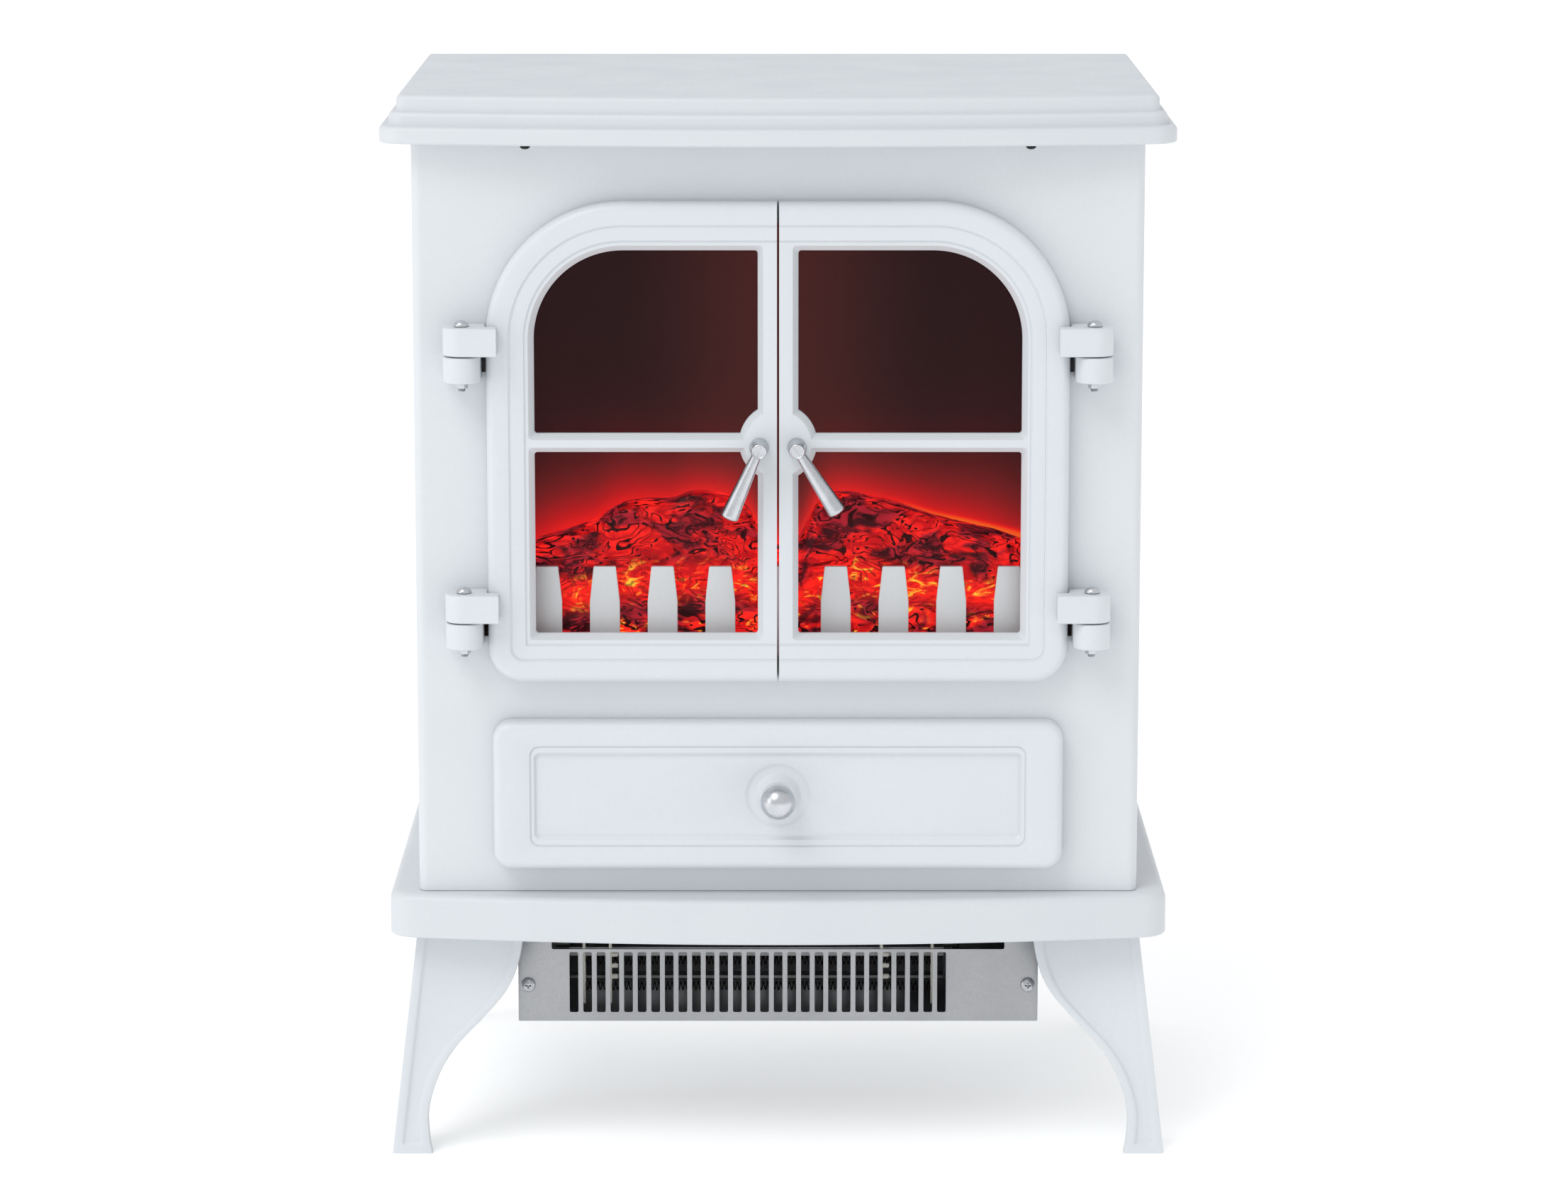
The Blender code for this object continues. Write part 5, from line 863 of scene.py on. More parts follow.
def make_handle(side, hand, angle):
    """A turned boss with a slotted end, and a tapered lever with a rolled end."""
    base = DOOR_FLAT - 0.3 * MM
    end = base - BOSS_LENGTH
    boss = Shape(facing_front)
    profile = [(1.8 * MM, DOOR_REAR - 1 * MM), (2.2 * MM, DOOR_REAR - 1.4 * MM), (2.2 * MM, base)]
    profile += [(4.7 * MM, base), (5.0 * MM, base - 0.15 * MM), (5.1 * MM, base - 0.6 * MM)]
    profile += [(5.1 * MM, base - 1.6 * MM), (4.9 * MM, base - 2.0 * MM)]
    profile += [(4.15 * MM, end + 1.1 * MM), (4.05 * MM, end + 0.5 * MM), (3.85 * MM, end + 0.15 * MM)]
    profile += [(3.6 * MM, end), (3.3 * MM, end + 0.12 * MM), (3.1 * MM, end + 0.35 * MM)]
    boss.turned(profile, (side * HANDLE_X, HANDLE_Z), 48)
    made = make_object(f"turned_{hand}_handle", boss, SILVER)
    direction = Vector((side * math.sin(angle), -0.06, -math.cos(angle)))
    root_point = Vector((side * HANDLE_X, base - LEVER_SET_BACK, HANDLE_Z))
    lever = Shape(along(root_point, direction))
    profile = [(1.5 * MM, 1 * MM), (2.6 * MM, 2 * MM), (3.0 * MM, 8 * MM)]
    profile += [(4.9 * MM, LEVER_LENGTH - 2.2 * MM)]
    roll = LEVER_LENGTH - 1.4 * MM
    profile += [(5.0 * MM - ROLLED_END * (1 - math.cos(a)), roll + ROLLED_END * math.sin(a))
                for a in (0.0, 0.4, 0.8, 1.2, math.pi / 2)]
    profile += [(2.4 * MM, LEVER_LENGTH + 0.5 * MM), (0.8 * MM, LEVER_LENGTH + 0.75 * MM)]
    lever.turned(profile, steps=40)
    combine(made, lever, "UNION")
    slot = Shape(lambda u, v, w: (side * (HANDLE_X + u * math.cos(angle) + v * math.sin(angle)),
                                  w, HANDLE_Z + u * math.sin(angle) - v * math.cos(angle)))
    slot.prism(rect(-0.3 * MM, 0.3 * MM, -2.8 * MM, 2.8 * MM), end - 1 * MM, end + 0.9 * MM)
    combine(made, slot, "DIFFERENCE")
    settle(made, f"{hand}_handle", "satin_silver", f"{hand}_handle")


# ------------------------------------------------------------------------------------------------- hinges

HINGE_X = DOORS_HALF + 12.5 * MM
HINGE_REACH = 14 * MM
KNUCKLE_RADIUS = 9.9 * MM
KNUCKLE_ARM = 6.2 * MM
HINGE_SOFT = 0.9 * MM
PIN_RADIUS = 2 * MM
PIN_HEAD_RADIUS = 4 * MM
PIN_HEAD_EDGE = 0.25 * MM
NUT_RADIUS = 3.3 * MM
HINGE_PLAY = 0.3 * MM


def make_hinge(side, hand, end):
    """An arm block on the door, a fixed block on the body, and a domed pin through both with a nut below."""
    arm_low, arm_high = span(f"{hand}_{end}_hinge_arm")
    fixed_low, fixed_high = span(f"{hand}_{end}_hinge_block")
    door_side = DOORS_HALF - HINGE_X
    door_front = HINGE_REACH + DOOR_FACE - HINGE_PLAY
    arm_back = HINGE_REACH - 0.5 * MM
    outline = [(door_side - KNUCKLE_ARM, -KNUCKLE_RADIUS), (door_side - KNUCKLE_ARM, door_front)]
    outline += [(door_side + HINGE_PLAY, door_front), (door_side + HINGE_PLAY, arm_back), (0.0, arm_back)]
    outline += arc(0, 0, KNUCKLE_RADIUS, 90, -90, 28)
    outline = [(HINGE_X + u, v - HINGE_REACH) for u, v in outline]
    place = (lambda u, v, w: (side * u, v, w))
    bore = circle(HINGE_X, -HINGE_REACH, PIN_RADIUS + 0.4 * MM, 24)
    shape = Shape(place)
    shape.soft_prism(list(reversed(outline)), arm_low.z, arm_high.z, HINGE_SOFT, [bore], 4)
    made = make_object(f"{hand}_{end}_arm_block", shape, CAST_COAT)
    settle(made, f"{hand}_door", "white_enamel", f"{hand}_{end}_hinge_arm")

    outline = arc(HINGE_X, -HINGE_REACH, KNUCKLE_RADIUS, 180, 360, 28)
    outline += [(HINGE_X + KNUCKLE_RADIUS, -HINGE_PLAY), (HINGE_X - KNUCKLE_RADIUS, -HINGE_PLAY)]
    shape = Shape(place)
    shape.soft_prism(outline, fixed_low.z, fixed_high.z, HINGE_SOFT, [bore], 4)
    made = make_object(f"{hand}_{end}_fixed_block", shape, CAST_COAT)
    shank = Shape(place)
    plan = rect(HINGE_X - KNUCKLE_RADIUS + 2 * MM, HINGE_X + KNUCKLE_RADIUS - 5 * MM, -3 * MM, 7.5 * MM)
    shank.prism(plan, fixed_low.z + 4 * MM, fixed_high.z - 1.6 * MM)
    combine(made, shank, "UNION")
    settle(made, "root", "white_enamel", f"{hand}_{end}_hinge_block")

    pin_low, pin_high = span(f"{hand}_{end}_hinge_pin")
    head = arm_high.z + HINGE_PLAY
    foot = fixed_low.z
    thread_turns = 4
    thread = (foot - 3.2 * MM - pin_low.z - 0.5 * MM) / thread_turns
    profile = [(PIN_RADIUS * 0.7, pin_low.z), (PIN_RADIUS * 0.95, pin_low.z + 0.5 * MM)]
    for i in range(thread_turns):
        level = pin_low.z + 0.5 * MM + thread * i
        profile += [(PIN_RADIUS * 0.86, level + thread * 0.3), (PIN_RADIUS, level + thread * 0.8)]
    crown = head + PIN_HEAD_EDGE
    dome = pin_high.z - crown
    profile += [(PIN_RADIUS, head), (PIN_HEAD_RADIUS - 0.15 * MM, head), (PIN_HEAD_RADIUS, crown)]
    profile += [(PIN_HEAD_RADIUS * math.cos(a), crown + dome * math.sin(a))
                for a in (math.pi / 2 * i / 9 for i in range(1, 9))]
    profile += [(0.2 * MM, pin_high.z)]
    shape = Shape(lying_flat)
    centre = (side * HINGE_X, -HINGE_REACH)
    shape.turned(profile, centre, 32)
    made = make_object(f"{hand}_{end}_domed_pin", shape, SILVER)
    nut = Shape(lying_flat)
    flats = circle(*centre, NUT_RADIUS, 6)
    nut.soft_prism(flats, foot - 3.2 * MM, foot - HINGE_PLAY, 0.35 * MM)
    combine(made, nut, "UNION")
    settle(made, "root", "satin_silver", f"{hand}_{end}_hinge_pin")


def make_doors():
    """Both doors, each with its handle left hanging at a slant over its lower window."""
    angles = {"left": math.radians(24), "right": math.radians(33)}
    for side, hand in ((-1, "left"), (1, "right")):
        make_door_frame(side, hand)
        make_handle(side, hand, angles[hand])
        for end in ("upper", "lower"):
            make_hinge(side, hand, end)


# ----------------------------------------------------------------------------------------- flap and controls

FLAP_LOW, FLAP_HIGH = span("control_flap")
KNOB_LOW, KNOB_HIGH = span("flap_knob")
FLAP_HALF = FLAP_HIGH.x
FLAP_SILL = FLAP_LOW.z
FLAP_TOP = FLAP_HIGH.z
FLAP_CENTRE = (FLAP_SILL + FLAP_TOP) / 2
FLAP_REAR = -0.5 * MM
FLAP_FACE = FLAP_REAR - 12 * MM
FLAP_CORNER = 9.5 * MM
PANEL_SIDE = 20 * MM
PANEL_EDGE = 13 * MM
PANEL_CORNER = 5 * MM
PANEL_FLOOR = FLAP_FACE + 2.4 * MM
BALL_RADIUS = KNOB_HIGH.x
BALL_CENTRE = KNOB_LOW.y + BALL_RADIUS
FLAP_ROUND = 4.4 * MM
FLAP_SKIN = 2.5 * MM
FLAP_SOLE = 6 * MM
FLAP_AXIS_Z = FLAP_SILL + 2.4 * MM
TRUNNION_X = 123 * MM
TRUNNION_RADIUS = 1.2 * MM
STUD_RADIUS = 2.3 * MM
CONTROL_FACE = 14.8 * MM
ROCKER_PIVOT = 17.5 * MM
ROCKER_HALF = 8.5 * MM
ROCKER_TILT = math.radians(6)
ROCKER_PROUD = 1.6 * MM
MARK_HEIGHT = 0.36 * MM
MARK_ROOT = -0.2 * MM
INK_BACK = CONTROL_FACE + 0.05 * MM
INK_FRONT = CONTROL_FACE - 0.06 * MM


def flap_outline(shrink_x, shrink_z, corner):
    """The flap's front outline, moved inward at its sides and at its top and foot."""
    half = FLAP_HALF - shrink_x
    return rounded_rect(-half, half, FLAP_SILL + shrink_z, FLAP_TOP - shrink_z, corner)


def make_flap():
    """A flap with a soft outer edge, a fine groove round a sunk panel and a dished collar for the knob."""
    shape = Shape(facing_front)
    rings = [shape.loop(flap_outline(0.3 * MM, 0.3 * MM, FLAP_CORNER - 0.3 * MM), FLAP_REAR)]
    rings += [shape.loop(flap_outline(0.0, 0.0, FLAP_CORNER), FLAP_REAR - 0.3 * MM)]
    for shrink, depth in quarter_round(0.0, FLAP_FACE, FLAP_ROUND, 10):
        rings.append(shape.loop(flap_outline(shrink, shrink, FLAP_CORNER - shrink), depth))
    shape.walls(rings)
    grooves = []
    steps = ((-0.8, -0.8, 0.0), (-0.45, -0.45, 0.12), (-0.15, -0.15, 0.9), (0.25, 0.25, 1.0), (0.6, 0.6, 0.7),
             (1.0, 1.4, 0.72), (1.9, 3.4, 0.9), (2.6, 4.7, 2.3), (2.9, 5.1, 2.55), (3.4, 5.7, 2.4))
    for side, edge, sink in steps:
        corner = PANEL_CORNER - side * MM
        grooves.append(shape.loop(flap_outline(PANEL_SIDE + side * MM, PANEL_EDGE + edge * MM, corner),
                                  FLAP_FACE + sink * MM))
    shape.walls(grooves)
    shape.cap(rings[-1], grooves[0])
    seat = BALL_CENTRE + BALL_RADIUS
    dish = [(17.8 * MM, PANEL_FLOOR), (17.3 * MM, PANEL_FLOOR + 0.12 * MM)]
    dish += [(16.2 * MM, PANEL_FLOOR + 0.6 * MM), (15.6 * MM, PANEL_FLOOR + 0.7 * MM)]
    dish += [(13.2 * MM, PANEL_FLOOR + 0.7 * MM), (12.2 * MM, PANEL_FLOOR + 0.45 * MM)]
    collar = [(11.6 * MM, PANEL_FLOOR - 0.3 * MM), (11.1 * MM, PANEL_FLOOR - 1.2 * MM)]
    collar += [(9.9 * MM, seat + 2.4 * MM), (9.6 * MM, seat + 1.5 * MM), (9.2 * MM, seat + 1.0 * MM)]
    collar += [(8.6 * MM, seat + 0.8 * MM), (STUD_RADIUS, seat + 0.8 * MM), (STUD_RADIUS, PANEL_FLOOR)]
    turned = [shape.loop(circle(0, FLAP_CENTRE, radius, 56), depth) for radius, depth in dish + collar]
    shape.walls(turned)
    shape.cap(grooves[-1], turned[0])
    shape.cap(turned[-1])
    half = FLAP_HALF - FLAP_SKIN
    inner = rounded_rect(-half, half, FLAP_SILL + FLAP_SOLE, FLAP_TOP - FLAP_SKIN, FLAP_CORNER - FLAP_SKIN, 6)
    pocket_mouth = shape.loop(inner, FLAP_REAR)
    pocket_floor = shape.loop(inner, PANEL_FLOOR + FLAP_SKIN)
    shape.wall(pocket_mouth, pocket_floor)
    shape.cap(rings[0], pocket_mouth)
    shape.cap(pocket_floor)
    made = make_object("moulded_flap", shape, CAST_COAT, 28)
    chamfer = Shape(facing_side)
    wedge = [(FLAP_REAR - 1.3 * MM, FLAP_SILL - 2 * MM), (FLAP_REAR + 2 * MM, FLAP_SILL - 2 * MM)]
    wedge += [(FLAP_REAR + 2 * MM, FLAP_SILL + 1.3 * MM), (FLAP_REAR, FLAP_SILL + 1.3 * MM)]
    wedge += [(FLAP_REAR - 1.3 * MM, FLAP_SILL)]
    chamfer.prism(wedge, -FLAP_HALF * 1.1, FLAP_HALF * 1.1)
    combine(made, chamfer, "DIFFERENCE")
    notches = Shape(facing_side)
    trunnions = Shape(facing_side)
    for x in (-TRUNNION_X, TRUNNION_X):
        notch = rect(-6.4 * MM, 1 * MM, FLAP_SILL - 1 * MM, FLAP_AXIS_Z + 3.4 * MM)
        notches.prism(notch, x - 4 * MM, x + 4 * MM)
        ends = [(TRUNNION_RADIUS, x - 5 * MM), (TRUNNION_RADIUS, x + 5 * MM)]
        trunnions.turned(ends, (-3 * MM, FLAP_AXIS_Z), 16)
    combine(made, notches, "DIFFERENCE")
    combine(made, trunnions, "UNION")
    settle(made, "control_flap", "white_enamel", "control_flap")


def make_ball_knob():
    """A turned ball with a small flat at its tip, on a stud."""
    shape = Shape(facing_front)
    start = math.asin(2 * MM / BALL_RADIUS)
    profile = [(2 * MM, KNOB_HIGH.y)]
    for i in range(25):
        angle = start + (math.radians(174) - start) * i / 24
        profile.append((BALL_RADIUS * math.sin(angle), BALL_CENTRE + BALL_RADIUS * math.cos(angle)))
    profile.append((0.4 * MM, KNOB_LOW.y))
    shape.turned(profile, (0.0, FLAP_CENTRE), 56)
    settle(make_object("turned_ball_knob", shape, SILVER), "control_flap", "satin_silver", "flap_knob")


def make_rocker(name):
    """A rocker with a finger dip in each half, a moulded bar on its upper half and a ring on its lower."""
    low, high = span(name)
    x = (low.x + high.x) / 2
    reach = CONTROL_FACE - ROCKER_PROUD - ROCKER_PIVOT
    section = []
    for i in range(17):
        t = -1 + 2 * i / 16
        slope = abs(t) * ROCKER_HALF * math.tan(ROCKER_TILT)
        dip = 0.5 * MM * math.sin(math.pi * abs(t)) ** 2
        section.append((reach - slope + dip, t * ROCKER_HALF))
    section += [(0.0, ROCKER_HALF)] + arc(0.0, 0.0, 6 * MM, 60, -60, 10) + [(0.0, -ROCKER_HALF)]
    turn = Matrix.Rotation(ROCKER_TILT, 2)
    turned = [turn @ Vector(point) for point in section]
    outline = [(ROCKER_PIVOT + p.x, FLAP_CENTRE + p.y) for p in turned]
    shape = Shape(facing_side)
    shape.soft_prism(list(reversed(outline)), low.x, high.x, 0.5 * MM)
    made = make_object(f"moulded_{name}", shape, BLACK_ABS)
    settle(made, name, "black_plastic", name)
    lean = Matrix.Rotation(ROCKER_TILT, 3, "X")
    axis = Vector((x, ROCKER_PIVOT, FLAP_CENTRE))
    marks = Shape(lambda u, v, w: axis + lean @ Vector((u, reach - w, v)))
    marks.prism(rect(-0.4 * MM, 0.4 * MM, 3.0 * MM, 5.8 * MM), MARK_HEIGHT, MARK_ROOT)
    ring, eye = (circle(0.0, -4.5 * MM, radius, 24) for radius in (1.5 * MM, 0.95 * MM))
    marks.prism(ring, MARK_HEIGHT, MARK_ROOT, [eye])
    ink = make_object(f"{name}_marks", marks, WHITE_ABS)
    settle(ink, name, "white_plastic")


def make_control_knob(name):
    """A fluted knob with a raised pointer bar, on a shaft through the panel."""
    low, high = span(name)
    x = (low.x + high.x) / 2
    radius = (high.x - low.x) / 2
    back = CONTROL_FACE - 1 * MM
    steps = 72

    def rim(reach, flute):
        """The knob's outline at one depth, with twelve finger flutes."""
        points = []
        for i in range(steps):
            angle = 2 * math.pi * i / steps
            depth = reach - flute * (0.5 + 0.5 * math.cos(12 * angle)) ** 3
            points.append((x + depth * math.cos(angle), FLAP_CENTRE + depth * math.sin(angle)))
        return points

    sections = [(3 * MM, 0, high.y), (3 * MM, 0, back)]
    sections += [(radius - 0.4 * MM, 0, back), (radius, 0, back - 0.4 * MM)]
    sections += [(radius, 0, back - 1.6 * MM), (radius - 0.5 * MM, 0, back - 2.2 * MM)]
    sections += [(radius - 1.5 * MM, 0.8 * MM, back - 2.4 * MM)]
    sections += [(radius - 2.0 * MM, 0.8 * MM, low.y + 0.9 * MM)]
    sections += [(radius - 2.3 * MM, 0.6 * MM, low.y + 0.3 * MM), (radius - 2.9 * MM, 0.2 * MM, low.y)]
    shape = Shape(facing_front)
    loops = [shape.loop(rim(reach, flute), depth) for reach, flute, depth in sections]
    shape.walls(loops)
    shape.cap(loops[0])
    shape.cap(loops[-1])
    made = make_object(f"moulded_{name}", shape, BLACK_ABS)
    settle(made, name, "black_plastic", name)
    pointer = Shape(facing_front)
    pointer.prism(rect(x - 0.5 * MM, x + 0.5 * MM, FLAP_CENTRE + 2.5 * MM, FLAP_CENTRE + radius - 3.4 * MM),
                  low.y + 0.1 * MM, low.y - 0.12 * MM)
    settle(make_object(f"{name}_pointer", pointer, WHITE_ABS), name, "white_plastic")


def make_dial_marks():
    """A printed sweep of ticks round each knob, and a printed line above each rocker."""
    shape = Shape(facing_front)
    ticks = 11
    for node in ("dimmer_knob", "thermostat_knob"):
        low, high = span(node)
        x = (low.x + high.x) / 2
        radius = (high.x - low.x) / 2 + 1.6 * MM
        for i in range(ticks):
            angle = math.radians(225 - 270 * i / (ticks - 1))
            reach = (2.6 if i % 5 == 0 else 1.5) * MM
            out = Vector((math.cos(angle), math.sin(angle)))
            side = Vector((-out.y, out.x)) * 0.25 * MM
            near, far = out * radius, out * (radius + reach)
            tick = [near - side, far - side, far + side, near + side]
            shape.prism([(x + p.x, FLAP_CENTRE + p.y) for p in tick], INK_BACK, INK_FRONT)
    for node in ("flame_switch", "low_heat_switch", "high_heat_switch"):
        low, high = span(node)
        x = (low.x + high.x) / 2
        shape.prism(rect(x - 5 * MM, x + 5 * MM, high.z + 2.6 * MM, high.z + 3.1 * MM), INK_BACK, INK_FRONT)
    settle(make_object("printed_dial_marks", shape, PRINT_INK), "root", "black_plastic")


# --------------------------------------------------------------------------------------------------- fire

# Upper edge of the log pile in millimetres, left to right: across, and up from the ground
LOG_OUTLINE = ((-143, 331), (-131, 334), (-102, 341), (-89, 349), (-80, 352.5), (-57, 354.5), (-45, 358),
               (-29, 356), (-18, 351), (-11, 341), (-3, 330), (5, 329), (12, 334), (20, 350), (31, 357.5),
               (57, 353.5), (86, 344.5), (108, 339.5), (129, 335), (143, 332))
LOG_LOW, LOG_HIGH = span("log_set")
BARK_ROOM = 2.2 * MM
GLOW_SINK = 5 * MM
GLOW_HALF = 140 * MM


def log_top(x):
    """Upper edge of the log pile, as two long humps with a gap in the middle."""
    return smooth_through(LOG_OUTLINE, x / MM) * MM


def bark(x, s, z):
    """How far the moulded bark stands off the smooth log, in metres."""
    point = Vector((x * 38, s * 3.0, z * 95))
    coarse = noise.fractal(point, 1.0, 2.0, 4)
    fine = noise.noise(Vector((x * 120, s * 11, z * 300)))
    return (1.3 * coarse + 0.35 * fine) * MM


def make_logs():
    """Two cast logs with a lower one in front: a loft whose front swells, and creases where the logs meet."""
    foot = LOG_LOW.z
    middle = (LOG_LOW.y + LOG_HIGH.y) / 2
    half = (LOG_HIGH.y - LOG_LOW.y) / 2 - BARK_ROOM
    stations, around = 240, 72
    shape = Shape(facing_side)
    loops = []
    for i in range(stations + 1):
        x = LOG_LOW.x + (LOG_HIGH.x - LOG_LOW.x) * i / stations
        t = 2 * x / (LOG_HIGH.x - LOG_LOW.x)
        height = (log_top(x) - foot) * (1 - 0.10 * abs(t) ** 10)
        section = []
        for k in range(around + 1):
            s = k / around
            angle = math.pi * s
            side = math.copysign(abs(math.cos(angle)) ** 0.55, math.cos(angle))
            rise = math.sin(angle) ** 0.62 if 0 < s < 1 else 0.0
            z = foot + height * rise
            swell = 1.0
            if s < 0.5:
                split = 0.47 + 0.10 * math.sin(4.2 * t + 0.8)
                crease = math.exp(-((rise - split) / 0.05) ** 2)
                swell = 0.90 + 0.10 * math.cos((rise - 0.26) * 3.0) - 0.16 * crease
            y = middle - half * side * swell
            offset = bark(x, s * 6, z) if 0 < s < 1 else 0.0
            section.append((y - offset * side, z + offset * rise * (1 - abs(side)) * 0.7))
        loops.append(shape.loop(section, x))
    shape.walls(loops)
    shape.cap(loops[0])
    shape.cap(loops[-1])
    made = make_object("cast_logs", shape, RESIN, 60)
    level = made.data.attributes.new("log_height", "FLOAT", "POINT")
    for vertex in made.data.vertices:
        top = log_top(vertex.co.x)
        level.data[vertex.index].value = (vertex.co.z - foot) / (top - foot)
    settle(made, "root", "log_resin", "log_set")


def make_screen():
    """The acrylic screen as a finely divided slab that holds each point's place over the logs' outline."""
    low, high = span("flame_screen")
    columns, rows = 120, 90
    shape = Shape(facing_side)
    loops = []
    heights = [low.z + (high.z - low.z) * k / rows for k in range(rows + 1)]
    section = [(low.y, z) for z in heights] + [(high.y, z) for z in reversed(heights)]
    for i in range(columns + 1):
        loops.append(shape.loop(section, low.x + (high.x - low.x) * i / columns))
    shape.walls(loops)
    shape.cap(loops[0])
    shape.cap(loops[-1])
    made = make_object("acrylic_flame_screen", shape, SCREEN)
    above = made.data.attributes.new("above_logs", "FLOAT", "POINT")
    away = made.data.attributes.new("off_centre", "FLOAT", "POINT")
    for vertex in made.data.vertices:
        x, z = vertex.co.x, vertex.co.z
        above.data[vertex.index].value = max(-20 * MM, z - (log_top(x * 0.99) - GLOW_SINK))
        away.data[vertex.index].value = x / GLOW_HALF
    settle(made, "root", "flame_screen", "flame_screen")


def make_fence():
    """Punched bars on a rail, each bar widening towards its foot, with rounded edges."""
    low, high = span("fence")
    bars = 9
    pitch = 30.9 * MM
    rail_top = low.z + 8 * MM
    kink = high.z - 19 * MM
    half = 8 * MM
    tip_half = 6 * MM
    outline = []
    for i in range(bars):
        x = (i - (bars - 1) / 2) * pitch
        outline += [(x - half, rail_top), (x - half, kink), (x - tip_half, high.z - 0.6 * MM)]
        outline += [(x - tip_half + 0.5 * MM, high.z), (x + tip_half - 0.5 * MM, high.z)]
        outline += [(x + tip_half, high.z - 0.6 * MM), (x + half, kink), (x + half, rail_top)]
    end = outline[-1][0]
    outline = [(end, low.z)] + list(reversed(outline)) + [(-end, low.z)]
    shape = Shape(facing_front)
    shape.soft_prism(outline, low.y, high.y, 0.4 * MM)
    settle(make_object("punched_fence", shape, FENCE_PAINT), "root", "fence_grey", "fence")


# ------------------------------------------------------------------------------------------------- heater

GRILLE_SCREW_X = 137 * MM
SLOT_COUNT = 28
SLOT_PITCH = 7.47 * MM
SLOT_START = -112 * MM
SLOT_HALF = 2.35 * MM
LONG_SLOT_HALF = 124 * MM


def make_grille():
    """Zinc-coated front with round-ended outlet slots, and one long slot above them."""
    low, high = span("heater_grille")
    slots = []
    slot_foot, slot_top = low.z + 5.1 * MM, low.z + 38.9 * MM
    for i in range(SLOT_COUNT):
        x = SLOT_START + SLOT_PITCH * i
        slots.append(rounded_rect(x - SLOT_HALF, x + SLOT_HALF, slot_foot, slot_top, 0.9 * MM, 3))
    slot_foot, slot_top = low.z + 40.7 * MM, low.z + 49.7 * MM
    slots.append(rounded_rect(-LONG_SLOT_HALF, LONG_SLOT_HALF, slot_foot, slot_top, 1 * MM, 3))
    slots += [circle(x, low.z + 20.6 * MM, 2 * MM, 20) for x in (-GRILLE_SCREW_X, GRILLE_SCREW_X)]
    shape = Shape(facing_front)
    outline = rounded_rect(low.x, high.x, low.z, high.z, 0.6 * MM, 2)
    shape.soft_prism(outline, low.y, high.y, 0.25 * MM, slots, 2)
    settle(make_object("punched_heater_grille", shape, ZINC_SHEET), "root", "grey_sheet", "heater_grille")


def make_grille_screws():
    """Pan-head screws with a cross recess."""
    for hand in ("left", "right"):
        low, high = span(f"grille_screw_{hand}")
        centre = ((low.x + high.x) / 2, (low.z + high.z) / 2)
        radius = (high.x - low.x) / 2
        seat = span("heater_grille")[0].y - 0.3 * MM
        rim = seat - 0.6 * MM
        shape = Shape(facing_front)
        profile = [(1.0 * MM, high.y), (1.7 * MM, high.y - 0.6 * MM), (1.7 * MM, seat), (radius, seat)]
        profile += [(radius * math.cos(a), rim - (rim - low.y) * math.sin(a))
                    for a in (math.pi / 2 * i / 10 for i in range(10))]
        profile += [(0.2 * MM, low.y)]
        shape.turned(profile, centre, 40)
        made = make_object(f"cross_head_screw_{hand}", shape, BRIGHT_ZINC)
        for across, up in ((2.0 * MM, 0.45 * MM), (0.45 * MM, 2.0 * MM)):
            groove = Shape(facing_front)
            ends = []
            for share, depth in ((1.0, low.y - 0.5 * MM), (0.4, low.y + 1.6 * MM)):
                u, v = across * share, up * share
                end = rect(centre[0] - u, centre[0] + u, centre[1] - v, centre[1] + v)
                ends.append(groove.loop(end, depth))
                groove.cap(ends[-1])
            groove.wall(*ends)
            combine(made, groove, "DIFFERENCE")
        settle(made, "root", "bright_screw", f"grille_screw_{hand}")


def make_element():
    """Three coils of resistance wire through four ceramic uprights, with beads beside the two inner ones."""
    low, high = span("heating_element")
    middle = (low.y + high.y) / 2
    uprights = (low.x + 1 * MM, low.x + 15.5 * MM, high.x - 29 * MM, high.x - 1 * MM)
    shape = Shape(facing_side)
    for x in uprights:
        outline = rounded_rect(low.y, high.y, low.z, high.z, 1 * MM, 4)
        shape.soft_prism(outline, x - 0.8 * MM, x + 0.8 * MM, 0.2 * MM)
    frame_piece = make_object("element_uprights", shape, CERAMIC)
    settle(frame_piece, "root", "ceramic", "heating_element")
    pegs = Shape(facing_side)
    levels = [low.z + share * (high.z - low.z) for share in (0.32, 0.45, 0.58)]
    peg = ((0.9 * MM, 0.4 * MM), (1.4 * MM, 0.9 * MM), (1.4 * MM, 3.8 * MM), (0.9 * MM, 4.3 * MM))
    for x in uprights[1:3]:
        for z in levels:
            pegs.turned([(radius, x + depth) for radius, depth in peg], (low.y + 1.6 * MM, z), 16)
    settle(make_object("ceramic_pegs", pegs, CERAMIC), "root", "ceramic")
    wire = Shape(lying_flat)
    coil_radius, wire_radius, pitch, per_turn = 2.2 * MM, 0.35 * MM, 2.4 * MM, 12
    for row in range(3):
        z = low.z + (high.z - low.z) * (0.2 + 0.3 * row)
        length = high.x - low.x - 2 * MM
        steps = int(length / pitch * per_turn)
        rings = []
        for i in range(steps + 1):
            turn = 2 * math.pi * i / per_turn
            x = low.x + 1 * MM + length * i / steps
            out = Vector((0, math.cos(turn), math.sin(turn)))
            centre = Vector((x, middle, z)) + out * coil_radius
            ring = []
            for k in range(5):
                a = 2 * math.pi * k / 5
                ring.append(wire.mesh.verts.new(centre + out * wire_radius * math.cos(a)
                                                + Vector((wire_radius * math.sin(a), 0, 0))))
            for a, b in zip(ring, ring[1:] + ring[:1]):
                wire.mesh.edges.new((a, b))
            rings.append(ring)
        wire.walls(rings)
        wire.cap(rings[0])
        wire.cap(rings[-1])
    settle(make_object("resistance_coils", wire, WIRE, 60), "root", "ceramic")


# --------------------------------------------------------------------------------------------------- rear


